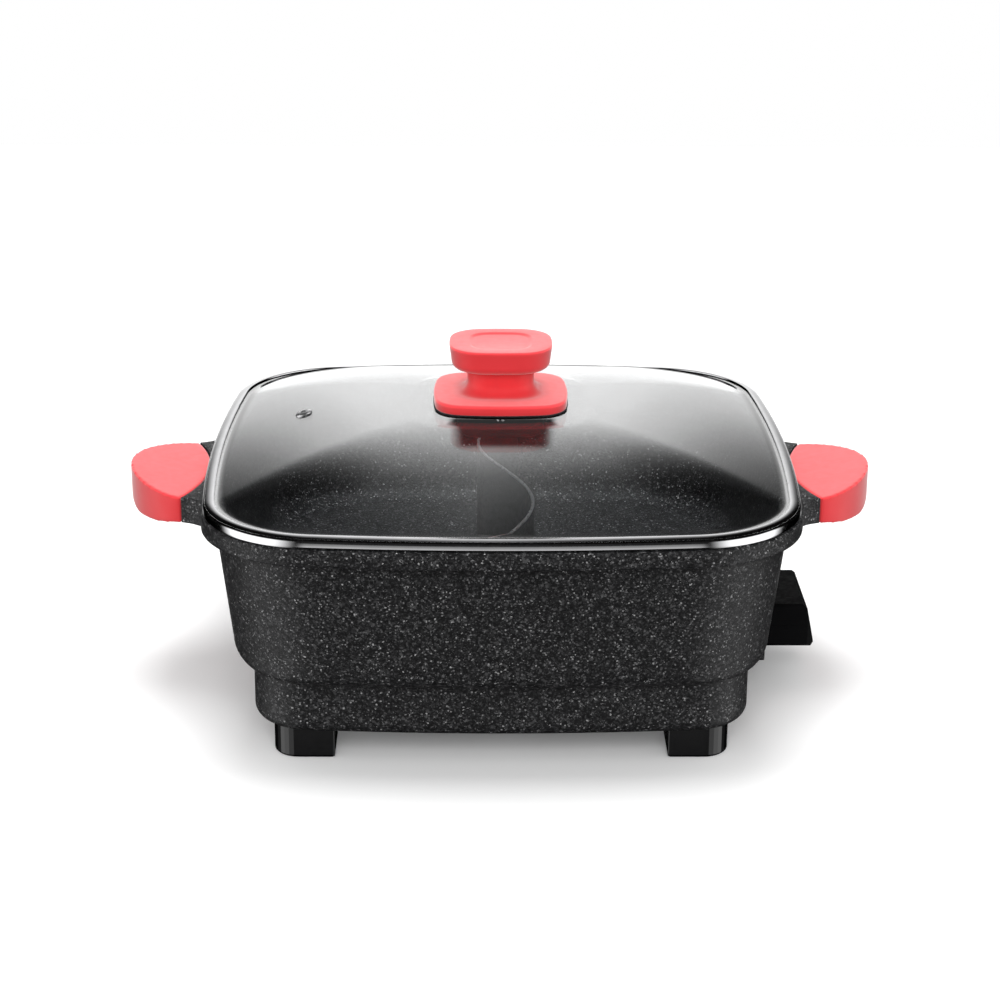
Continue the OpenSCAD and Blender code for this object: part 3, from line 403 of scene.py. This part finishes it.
def glass():
    """Clear glass with a strong mirror coat where it is seen at a low angle."""
    look = Look("clear_glass", Roughness=0.0, Transmission_Weight=1.0, IOR=1.46, Coat_IOR=4.0,
                Coat_Roughness=0.01)
    look.drive("Base Color", look.mix(look.spread(look.noise(30, 2), 0.3, 0.7),
                                      (0.92, 0.95, 0.96, 1.0), (0.95, 0.97, 0.98, 1.0)))
    facing = look.node("ShaderNodeLayerWeight", {"Blend": 0.5}).outputs["Facing"]
    look.drive("Coat Weight", look.spread(facing, 0.45, 0.72))
    return look.material


GRANITE = granite()
RED = silicone()
GLASS = glass()
BRIGHT = steel("rim_steel", (0.62, 0.62, 0.63, 1.0), 0.1)
EYELET = steel("vent_steel", (0.9, 0.9, 0.91, 1.0), 0.38)
SHEET = steel("bare_aluminium", (0.72, 0.72, 0.73, 1.0), 0.3, 0.2)
SCREW = steel("screw_steel", (0.55, 0.55, 0.56, 1.0), 0.3, 0.3)
ELEMENT = steel("element_steel", (0.3, 0.29, 0.29, 1.0), 0.45, 0.4)
CONTACT = steel("contact_metal", (0.72, 0.62, 0.38, 1.0), 0.25, 0.1)
COATED = plastic("coated_sheet", linear(24, 24, 26), 0.5, 0.4, 0.2)
GLOSS = plastic("gloss_black", linear(12, 12, 13), 0.12, 0.05, 0.4)
CASING = plastic("casing_black", linear(17, 17, 18), 0.6, 0.2, 0.03)
MATT = plastic("black_plastic", linear(24, 24, 25), 0.45, 0.5)
RUBBER = plastic("black_rubber", linear(20, 20, 20), 0.6, 0.3)
BASE = plastic("base_steel", linear(44, 44, 46), 0.42, 0.6)
CERAMIC = plastic("ceramic_white", linear(214, 205, 182), 0.6, 0.4)
SWITCH = plastic("switch_brown", linear(92, 62, 40), 0.5, 0.4)
PILOT = plastic("pilot_red", linear(214, 84, 40), 0.15, 0.0)

# CAD nodes that stay in sight: their finish, and the width of their rounded edges
FEET = ("foot_front_left", "foot_front_right", "foot_rear_left", "foot_rear_right")
CAD_LOOKS = {
    **dict.fromkeys(FEET, GLOSS), "foot_screws": SCREW, "heating_element": ELEMENT,
    "terminal_pins": CONTACT, "terminal_socket": MATT, "socket_screws": SCREW,
    "probe_guide": SHEET, "base_plate": BASE, "base_plate_screws": SCREW, "knob_mount": MATT,
    "knob_screw": SCREW, "plug_top_shell": CASING, "plug_bottom_shell": CASING,
    "plug_screws": SCREW, "contact_holder": CERAMIC, "contact_sleeves": CONTACT,
    "probe_rod": BRIGHT, "thermostat_switch": SWITCH, "pilot_lens": PILOT, "cord_gland": RUBBER,
    "dial": MATT, "dial_shaft": SCREW}
CAD_EDGES = {
    **dict.fromkeys(FEET, 0.9), "terminal_socket": 0.5, "plug_top_shell": 0.4,
    "plug_bottom_shell": 0.4, "dial": 0.4, "cord_gland": 0.3, "base_plate": 0.2}
WELD_GAP = 0.01


def dress_cad():
    for name, look in CAD_LOOKS.items():
        obj = nodes[name]
        if not obj.material_slots:
            obj.data.materials.append(look)
        for spot in obj.material_slots:
            spot.material = look
        if name in CAD_EDGES:
            weld = obj.modifiers.new("weld", "WELD")
            weld.merge_threshold = WELD_GAP * MM
            bevel(obj, CAD_EDGES[name], 2, 40).harden_normals = True


# ---- Pan ----

def pan_outline(inset, z, corner):
    return raised(outline(HALF_W - inset, HALF_D - inset, corner, BOW), z)


def outer_ring(inset, z):
    """Outside of wall, step and skirt, whose corners shrink on the way down."""
    if inset < WALL_FOOT_IN:
        corner = CORNER - (CORNER - WALL_CORNER) * inset / WALL_FOOT_IN
    elif inset < SKIRT_IN:
        corner = WALL_CORNER - (WALL_CORNER - SKIRT_CORNER) * (inset - WALL_FOOT_IN) / STEP_OUT
    else:
        corner = max(MIN_CORNER, SKIRT_CORNER - (inset - SKIRT_IN))
    return pan_outline(inset, z, corner)


def flange_ring(inset, z):
    return pan_outline(inset, z, CORNER - inset)


def inner_ring(inset, z):
    return pan_outline(inset, z, max(MIN_CORNER, WALL_CORNER - (inset - WALL_FOOT_IN)))


def outer_profile():
    """From the base's underside out over the skirt's edge and up to the flange's lower edge."""
    shoulder, fillet, edge = 4, 1.2, 1.5

    def wall(share):
        return FLANGE_OUT + WALL_LEAN * (1 - share), WALL_Z + (FLANGE_Z - WALL_Z) * share

    points = [(SKIRT_IN + SKIRT_T, BASE_Z), (SKIRT_IN + SKIRT_T, SKIRT_Z + SKIRT_EDGE + LIP),
              (SKIRT_IN + SKIRT_EDGE, SKIRT_Z + LIP)]
    points += arc(SKIRT_IN + SKIRT_EDGE, SKIRT_Z + SKIRT_EDGE, SKIRT_EDGE, SKIRT_EDGE, 270, 180, 9)
    points += [(SKIRT_IN, STEP_Z - shoulder)]
    points += arc(SKIRT_IN - STEP_FLAT, STEP_Z - STEP_FLAT, STEP_FLAT, STEP_FLAT, 0, 90, 3)
    points += arc(SKIRT_IN - STEP_FLAT, WALL_Z, STEP_OUT - STEP_FLAT, WALL_Z - STEP_Z, 270, 180, 14)
    points += [wall(0.02), wall(0.5), (FLANGE_OUT + 0.1, FLANGE_Z - fillet)]
    points += arc(FLANGE_OUT - fillet, FLANGE_Z - 1.1, fillet, fillet, 0, 80, 4)
    points += arc(edge, FLANGE_Z + 2.5, edge, edge, 270, 180, 6)
    return points


def flange_profile():
    """From the flange's side over the rim and down to the seat that the lid's hem stands in."""
    side, rim_edge, land_edge, corner = 2.0, 0.9, 0.6, 0.4
    points = [(0, RIM_Z - side)] + arc(rim_edge, RIM_Z - rim_edge, rim_edge, rim_edge, 180, 90, 4)
    points += arc(LAND - land_edge, RIM_Z - land_edge, land_edge, land_edge, 90, 0, 3)
    return points + [(LAND, SEAT_Z + corner), (LAND + corner, SEAT_Z)]


def inner_profile():
    """From the seat down the inside of the wall to the floor."""
    edge, half_edge, floor_ring = 0.8, 0.2, 8
    lean = (INNER_FOOT_IN - INNER_TOP_IN) / (SEAT_Z - FLOOR_Z - FILLET)
    points = [(INNER_TOP_IN - edge, SEAT_Z), (INNER_TOP_IN - half_edge, SEAT_Z - half_edge),
              (INNER_TOP_IN + edge * lean, SEAT_Z - edge),
              ((INNER_TOP_IN + INNER_FOOT_IN) / 2, (SEAT_Z + FLOOR_Z + FILLET) / 2)]
    points += arc(INNER_FOOT_IN + FILLET, FLOOR_Z + FILLET, FILLET, FILLET, 180, 270, 12)
    return points + [(INNER_FOOT_IN + FILLET + floor_ring, FLOOR_Z)]


def grip_seat(steps, inset=0.0):
    """The arc where a grip ends against its ear, from +Y to -Y, without its end points."""
    centre = GRIP_X - GRIP_BULGE + GRIP_R - inset
    across = [GRIP_W / 2 * (1 - 2 * i / steps) for i in range(1, steps)]
    return [(centre - math.sqrt(GRIP_R ** 2 - y * y), y) for y in across]


def make_pan():
    pan = loft("pan_casting", [outer_ring(*p) for p in outer_profile()]
               + [flange_ring(*p) for p in flange_profile()]
               + [inner_ring(*p) for p in inner_profile()])
    gap, past = 0.1, 20
    low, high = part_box("terminal_socket")
    near = low[0] / MM - gap
    cutter = prism("cut", [(near, -SOCKET_HALF_W), (HALF_W + past, -SOCKET_HALF_W),
                           (HALF_W + past, SOCKET_HALF_W), (near, SOCKET_HALF_W)],
                   0, high[2] / MM + gap)
    combine(pan, cutter, "DIFFERENCE")
    finish_piece(pan, "pot", GRANITE, ["pan"])


def make_ears():
    """The cast ears, which widen towards the wall; flare is (distance out, extra width)."""
    into_wall, grip_overlap = 1.6, 0.7
    root = HALF_W - INNER_TOP_IN + into_wall
    flare = [(root, 15), (root + 4, 11.5), (root + 8.5, 8), (root + 12, 5.5),
             (GRIP_X - 5.5, 2.2), (GRIP_X - 0.5, 0.15)]
    side = smooth_line(flare, 6)
    plan = ([(x, -GRIP_W / 2 - out) for x, out in side] + grip_seat(48, grip_overlap)[::-1]
            + [(x, GRIP_W / 2 + out) for x, out in side[::-1]])
    for name, sign in (("ear_right", 1), ("ear_left", -1)):
        ear = prism(name, [(sign * x, y) for x, y in plan], EAR_Z - EAR_T, EAR_Z)
        bevel(ear, EAR_EDGE, 3, 40)
        apply_modifiers(ear)
        finish_piece(ear, "pot", GRANITE, ["pan"])


def make_divider():
    """The S-shaped sheet: a coated body, and its bare upper edge as a piece of its own."""
    top, foot = RIM_Z - DIVIDER_DROP, FLOOR_Z + FILLET
    wall_gap, count, foot_rows = 0.5, 120, 8
    waist, edge_h, overlap = 84, 0.8, 0.1

    def place(y):
        if y > DIVIDER_CROSS:
            return -SWING_REAR * math.sin(math.pi * (y - DIVIDER_CROSS) / DIVIDER_REAR)
        return SWING_FRONT * math.sin(math.pi * (DIVIDER_CROSS - y) / DIVIDER_FRONT)

    def reach(z):
        if z > foot:
            inset = INNER_FOOT_IN - (INNER_FOOT_IN - INNER_TOP_IN) * (z - foot) / (SEAT_Z - foot)
        else:
            inset = INNER_FOOT_IN + FILLET * (1 - math.sqrt(max(0, 1 - ((foot - z) / FILLET) ** 2)))
        return HALF_D - inset - wall_gap

    def strip(name, levels, thick, edge, material):
        shares = [2 * i / count - 1 for i in range(count + 1)]
        verts = [(place(reach(z) * u), reach(z) * u, z) for z in levels for u in shares]
        row = count + 1
        faces = [(j * row + i, j * row + i + 1, (j + 1) * row + i + 1, (j + 1) * row + i)
                 for j in range(len(levels) - 1) for i in range(count)]
        sheet = new_object(name, verts, faces)
        solid = sheet.modifiers.new("thick", "SOLIDIFY")
        solid.thickness, solid.offset = thick * MM, 0
        bevel(sheet, edge, 2, 50)
        apply_modifiers(sheet)
        finish_piece(sheet, "pot", material, ["divider"])

    rows = [FLOOR_Z + 0.2 + (foot - FLOOR_Z) * (i / foot_rows) ** 1.5 for i in range(foot_rows + 1)]
    strip("divider_sheet", rows + [waist, top - edge_h + overlap], 1.5, 0.3, COATED)
    strip("divider_edge", [top - edge_h, top], 1.6, 0.25, SHEET)


# ---- Grips ----

def grip_profile(low, far, past):
    """Side view of a grip: its top rises to the end, its lower far edge is rounded."""
    end, rows = GRIP_X + GRIP_LEN, 8
    points = [(GRIP_X - GRIP_BULGE - past, EAR_Z)]
    points += [(GRIP_X + (GRIP_LEN - 0.5) * i / rows, EAR_Z + GRIP_RISE * (i / rows) ** 1.3)
               for i in range(rows + 1)]
    points += [(end + 1, EAR_Z + GRIP_RISE - 0.5)]
    points += [(end - GRIP_EDGE * (1 - math.cos(math.radians(w))) + (1 if w < 1 else 0),
                far + GRIP_EDGE * (1 - math.sin(math.radians(w)))) for w in range(0, 91, 10)]
    return points + [(GRIP_X + 12, far + GRIP_DROOP / 4), (GRIP_X + 2, low),
                     (GRIP_X - GRIP_BULGE - past, low)]


def make_grip(name, sign):
    """A sleeve over an ear: its plan cut to its side view, then rounded all over."""
    low, past, steps = EAR_Z - EAR_T - 0.2, 2, 40
    far = low - GRIP_DROOP
    turns = [math.radians(90 * i / steps) for i in range(-steps, steps + 1)]
    plan = [(GRIP_X + GRIP_LEN * max(0, math.cos(w)) ** (2 / GRIP_POWER),
             GRIP_W / 2 * math.sin(w)) for w in turns]
    grip = prism(name, plan + grip_seat(steps), far - past, EAR_Z + GRIP_RISE + past)
    side = prism("cut", grip_profile(low, far, past), -GRIP_W, GRIP_W, "Y")
    combine(grip, side, "INTERSECT")
    remesh = grip.modifiers.new("remesh", "REMESH")
    remesh.mode, remesh.voxel_size = "VOXEL", 0.75 * MM
    relax = grip.modifiers.new("relax", "SMOOTH")
    relax.factor, relax.iterations = 0.5, 6
    apply_modifiers(grip, 80)
    if sign < 0:
        grip.data.transform(Matrix.Diagonal((-1, 1, 1, 1)))
        grip.data.flip_normals()
    node = "handle_sleeve_right" if sign > 0 else "handle_sleeve_left"
    finish_piece(grip, "pot", RED, [node])
    grip.visible_glossy = False


# ---- Lid ----

def glass_height(s):
    """Height of the dome over the glass's edge, at a share of the way out from the middle."""
    if s > GLASS_EDGE:
        return 0.0
    if s < GLASS_FLAT:
        return DOME_RISE
    return DOME_SCALE * (1 - (s / GLASS_EDGE) ** DOME_FULL)


def make_glass():
    steps = 40
    ring = outline(LID_W - GLASS_IN, LID_D - GLASS_IN, LID_CORNER - GLASS_IN, BOW)
    dome_levels = [GLASS_EDGE - (GLASS_EDGE - GLASS_FLAT) * i / steps for i in range(steps + 1)]
    levels = [1.0, 0.98, 0.962] + dome_levels + [0.2, 0.1]

    def at(s, drop):
        z = GLASS_Z + GLASS_T - drop + glass_height(s)
        return [(x * s, y * s, z) for x, y in ring]

    dome = loft("glass_dome", [at(s, GLASS_T) for s in levels[::-1]] + [at(s, 0) for s in levels],
                sharp=50)
    finish_piece(dome, "lid", GLASS, ["lid_glass"])
    dome.visible_shadow = False


def make_rim():
    """Steel band: outer face, rounded crown, a fold over the glass, and a hem inside the pan."""
    top, hem_drop = LID_Z + RIM_H, 3.2
    hem = LAND - 1.0 + 0.6
    crown_in, crown_w, crown_h = 5.2, 5.04, 2.4
    profile = [(0.5, LID_Z), (0.15, LID_Z + 0.15), (0, LID_Z + 0.5), (0, LID_Z + 1.2),
               (0.04, LID_Z + 2.0), (0.12, LID_Z + 2.8)]
    profile += arc(crown_in, top - crown_h, crown_w, crown_h, 174, 90, 14)
    profile += [(RIM_W - 0.4, top - 0.03), (RIM_W - 0.1, top - 0.25), (RIM_W, top - 0.6),
                (3.0, top - 1.0), (STEEL + 0.2, top - 3.0), (STEEL, LID_Z + STEEL)]
    profile += [(hem + STEEL, LID_Z + STEEL), (hem + STEEL, LID_Z - hem_drop),
                (hem, LID_Z - hem_drop), (hem, LID_Z)]
    rim = loft("rim_band", [raised(outline(LID_W - p, LID_D - p, LID_CORNER - p, BOW), z)
                            for p, z in profile], closed=True)
    finish_piece(rim, "lid", BRIGHT, ["lid_rim"])


# ---- Knob ----

def knob_ring(half_w, half_d, corner, bow, z):
    return raised(outline(half_w, half_d, corner, bow, 8, 12), z)


def flange_outline(inset, z):
    return knob_ring(KNOB_FLANGE_W / 2 - inset, KNOB_FLANGE_D / 2 - inset,
                     max(2, KNOB_CORNER - inset), KNOB_BOW, z)


def make_knob_base():
    """Flange and neck, joined by a round flare."""
    lower, steps = 0.8, 10

    def neck(grow, z):
        return knob_ring(NECK_W / 2 + grow, NECK_W * NECK_DEPTH + grow, NECK_CORNER + grow * 0.5,
                         NECK_BOW, z)

    rings = [flange_outline(*p) for p in arc(lower, KNOB_Z + lower, lower, lower, 270, 180, 4)]
    rings += [flange_outline(*p) for p in arc(KNOB_FLANGE_EDGE, NECK_Z - KNOB_FLANGE_EDGE,
                                              KNOB_FLANGE_EDGE, KNOB_FLANGE_EDGE, 180, 90, 6)]
    for i in range(steps + 1):
        w = math.radians(90 / steps * i)
        rings.append(neck(NECK_FLARE * (1 - math.sin(w)),
                          NECK_Z + 0.2 + NECK_FLARE * (1 - math.cos(w))))
    rings.append(neck(0, HEAD_Z + 1.0))
    base = loft("knob_neck", rings)
    finish_piece(base, "lid", RED, ["knob_base"])
    base.visible_glossy = False


def make_seal():
    """The seal under the flange, which bulges out a little past it."""
    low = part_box("knob_gasket")[0][2] / MM
    profile = ((0.9, low), (0.1, low + 0.1), (-0.25, low + 0.35), (-0.2, KNOB_Z - 0.1),
               (0.8, KNOB_Z + 0.05))
    seal = loft("knob_seal", [flange_outline(*p) for p in profile])
    finish_piece(seal, "lid", RUBBER, ["knob_gasket"])


def make_knob_head():
    """The head: a bowl-shaped underside, a rounded rim and a shallow dish in its top."""
    rim_in, steps = 0.9, 12
    bowl_h = (KNOB_TOP - HEAD_Z) * 0.38
    top_edge = arc(HEAD_EDGE, KNOB_TOP - HEAD_EDGE, HEAD_EDGE, HEAD_EDGE, 180, 90, 6)

    def head(inset, z):
        return knob_ring(HEAD_HALF_W - inset, HEAD_HALF_D - inset, HEAD_CORNER - inset * 0.6,
                         HEAD_BOW, z)

    def dish(inset, depth):
        return knob_ring(DISH_HALF - inset, DISH_HALF - inset, DISH_CORNER - inset * 0.5,
                         DISH_BOW, KNOB_TOP - depth)

    rings = [head(HEAD_BOWL + rim_in + 1.0, HEAD_Z + 0.1)]
    for i in range(steps + 1):
        w = math.radians(90 / steps * i)
        rings.append(head(HEAD_BOWL * (1 - math.sin(w)) + rim_in,
                          HEAD_Z + bowl_h * (1 - math.cos(w))))
    rings += [head(0.45, KNOB_TOP - 4.5), head(0.1, KNOB_TOP - 2.0)]
    rings += [head(*p) for p in top_edge] + [head(3.0, KNOB_TOP)]
    rings += [dish(*p) for p in ((-0.6, 0), (0, 0.08), (0.7, 0.4), (1.4, 0.72), (2.1, 0.8))]
    top = loft("knob_grip", rings)
    finish_piece(top, "lid", RED, ["knob_head"])
    top.visible_glossy = False


# ---- Steam vent ----

def make_vent():
    """A turned eyelet, which leans with the glass that it sits in."""
    low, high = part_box("steam_vent")
    cx, cy = (low[0] + high[0]) / 2 / MM, (low[1] + high[1]) / 2 / MM
    share, near, steps = abs(cx) / LID_W, 0.01, 48
    slope = (glass_height(share + near) - glass_height(share - near)) / (2 * near * LID_W)
    base = GLASS_Z + GLASS_T + glass_height(share)
    turns = [math.radians(360 / steps * i) for i in range(steps)]
    rings = [[(cx + radius * math.cos(w), cy + radius * math.sin(w),
               base + z - slope * radius * math.cos(w)) for w in turns]
             for radius, z in VENT_SECTION]
    eyelet = loft("vent_eyelet", rings, closed=True)
    finish_piece(eyelet, "lid", EYELET, ["steam_vent"])


# ---- Stage, light and camera ----

FLOOR_REACH, FLOOR_DROP = 1500, 0.05  # mm
WORLD_LIGHT, FLOOR_LIFT = 0.66, 0.07

# How bright the rear panel is towards its edge
REAR_STOPS = [(0.05, 1.0), (0.17, 0.92), (0.27, 0.76), (0.37, 0.62), (0.45, 0.46), (0.53, 0.3),
              (0.62, 0.17), (0.7, 0.09), (0.8, 0.03), (1.0, 0.0)]

# Name, place, height of the target, width and height in metres, and power of each soft box
LAMPS = [("top_box", (0.0, 0.1, 1.6), 0.1, 0.9, 0.9, 21),
         ("front_box", (0.0, -1.9, 1.2), 0.1, 1.2, 0.9, 19),
         ("rear_box", (0.0, 2.4, 0.95), 0.15, 2.2, 0.7, 6)]

# Camera: angles in degrees, lens and sensor in mm, distances in metres
CAMERA_DOWN, CAMERA_YAW, CAMERA_ROLL = 19.34, -0.7, 0.3
CAMERA_LENS, CAMERA_SENSOR = 84.978, 36.0
CAMERA_AWAY, CAMERA_TARGET_Z, CAMERA_CLIP = 1.266, 0.0962, 0.02


def make_floor():
    """Pale floor, darker to diffuse rays, so that it throws less light up at the pot."""
    corners = [(sx * FLOOR_REACH, sy * FLOOR_REACH, -FLOOR_DROP)
               for sx, sy in ((-1, -1), (1, -1), (1, 1), (-1, 1))]
    floor = new_object("floor", corners, [(0, 1, 2, 3)])
    look = Look("floor", Roughness=0.9, Specular_IOR_Level=0.0)
    rays = look.node("ShaderNodeLightPath").outputs
    look.drive("Base Color", look.mix(rays["Is Diffuse Ray"], (0.95, 0.95, 0.95, 1.0),
                                      (0.3, 0.3, 0.3, 1.0)))
    look.shader.inputs["Emission Color"].default_value = (1.0, 1.0, 1.0, 1.0)
    seen = look.math("MAXIMUM", rays["Is Camera Ray"], rays["Is Transmission Ray"])
    look.drive("Emission Strength", look.math("MULTIPLY", seen, FLOOR_LIFT))
    floor.data.materials.append(look.material)
    floor.visible_glossy = False


def rear_panel(world, x, y, z):
    """Pale panel behind the pot, fading to its edges, with a dark dip low down and a painted dark
    reflection of the knob.
    """
    aside = world.math("ABSOLUTE", x)
    rise = world.math("MULTIPLY_ADD", world.math("MAXIMUM", z, 0.0), 0.4, aside)
    fade = world.ramp(world.spread(rise, 0.2, 0.5),
                      [(place, (level, level, level, 1)) for place, level in REAR_STOPS])
    panel = world.math("MULTIPLY", world.math("MULTIPLY", fade, 1.25),
                       world.math("MULTIPLY", world.step(y, 0.0, 0.3), world.step(z, -0.43, -0.36)))
    dip = world.math("MULTIPLY", world.step(z, -0.24, -0.1, 1, 0), world.step(aside, 0.16, 0.24, 1, 0))
    panel = world.math("MULTIPLY", panel, world.math("SUBTRACT", 1.0, dip))
    # Painted reflection: a dark patch where the glass in front of the knob mirrors the knob, which is
    # itself hidden from mirror rays
    off_painted_knob_reflection = world.math("ABSOLUTE", world.math("SUBTRACT", x, 0.013))
    painted_knob_reflection = world.math("MULTIPLY", world.step(off_painted_knob_reflection, 0.022, 0.03, 1, 0),
                       world.math("MULTIPLY", world.step(z, 0.31, 0.335),
                                  world.step(z, 0.58, 0.62, 1, 0)))
    return world.math("MULTIPLY", panel, world.math("MULTIPLY_ADD", painted_knob_reflection, -0.95, 1.0))


def front_panels(world, x, y, z):
    """Two bright soft boxes high at the sides, and a dim low panel in front."""
    aside, front = world.math("ABSOLUTE", x), world.math("MULTIPLY", y, -1.0)
    boxes = world.math("MULTIPLY", world.step(aside, 0.35, 0.75),
                       world.math("MULTIPLY", world.step(front, -0.3, 0.0),
                                  world.step(z, 0.3, 0.6, 1.9, 0)))
    low = world.math("MULTIPLY",
                     world.math("MULTIPLY", world.step(front, 0.5, 0.8),
                                world.step(aside, 0.25, 0.4, 1, 0)),
                     world.math("MULTIPLY", world.step(z, -0.34, -0.04, 0.78, 0.02),
                                world.step(z, -0.44, -0.38)))
    return world.math("ADD", boxes, low)


def make_world():
    """White to the camera and even for matt surfaces; mirrored rays see panels on black.

    Rays that have passed the lid's glass count as inside it: there all of this is dimmer, and
    mirrored rays see a light overhead.
    """
    bpy.context.scene.world = bpy.data.worlds.new("studio")
    bpy.context.scene.world.use_nodes = True
    world = Nodes(bpy.context.scene.world.node_tree)
    world.tree.nodes.clear()

    def background(strength):
        return world.node("ShaderNodeBackground", {"Color": (1, 1, 1, 1),
                                                   "Strength": strength}).outputs[0]

    def choose(factor, a, b):
        return world.node("ShaderNodeMixShader", {0: factor, 1: a, 2: b}).outputs[0]

    way = world.node("ShaderNodeTexCoord").outputs["Generated"]
    x, y, z = world.node("ShaderNodeSeparateXYZ", {0: way}).outputs
    rays = world.node("ShaderNodeLightPath").outputs
    matt = world.math("MINIMUM", rays["Diffuse Depth"], 1.0)
    glossy = world.math("MINIMUM", rays["Glossy Depth"], 1.0)
    inner = world.step(rays["Transmission Depth"], 2.5, 3.5)

    panels = world.math("ADD", rear_panel(world, x, y, z), front_panels(world, x, y, z))
    panels = world.math("MULTIPLY", panels, world.math("MULTIPLY_ADD", inner, -0.85, 1.0))
    lid_light = world.math("MULTIPLY", inner, world.step(z, 0.78, 0.95, 0, 4))
    mirror = background(world.math("ADD", panels, lid_light))
    even = background(world.math("MULTIPLY_ADD", inner, -0.6 * WORLD_LIGHT, WORLD_LIGHT))
    bounced = choose(matt, mirror, even)
    whole = choose(world.math("MAXIMUM", matt, glossy), background(1.0), bounced)
    world.node("ShaderNodeOutputWorld", {"Surface": whole})


def make_lights():
    """Soft boxes that light the pot without being mirrored or seen through the glass."""
    for name, place, target_z, width, height, power in LAMPS:
        data = bpy.data.lights.new(name, "AREA")
        data.shape, data.size, data.size_y, data.energy = "RECTANGLE", width, height, power
        lamp = bpy.data.objects.new(name, data)
        lamp.location = place
        aim = Vector((0, 0, target_z)) - Vector(place)
        lamp.rotation_euler = aim.to_track_quat("-Z", "Y").to_euler()
        lamp.visible_glossy = False
        lamp.visible_transmission = False
        bpy.context.collection.objects.link(lamp)


def make_camera():
    data = bpy.data.cameras.new("camera")
    data.lens, data.sensor_width, data.clip_start = CAMERA_LENS, CAMERA_SENSOR, CAMERA_CLIP
    camera = bpy.data.objects.new("camera", data)
    down, yaw, roll = (math.radians(v) for v in (CAMERA_DOWN, CAMERA_YAW, CAMERA_ROLL))
    back = Vector((math.sin(yaw) * math.cos(down), -math.cos(yaw) * math.cos(down),
                   math.sin(down)))
    camera.location = Vector((0, 0, CAMERA_TARGET_Z)) + back * CAMERA_AWAY
    camera.rotation_euler = (back.to_track_quat("Z", "Y")
                             @ Quaternion((0, 0, 1), roll)).to_euler()
    bpy.context.collection.objects.link(camera)
    bpy.context.scene.camera = camera


dress_cad()
make_pan()
make_ears()
make_divider()
make_grip("grip_right", 1)
make_grip("grip_left", -1)
make_glass()
make_rim()
make_knob_base()
make_seal()
make_knob_head()
make_vent()
make_floor()
make_world()
make_lights()
make_camera()
bpy.context.scene.view_settings.view_transform = "Standard"
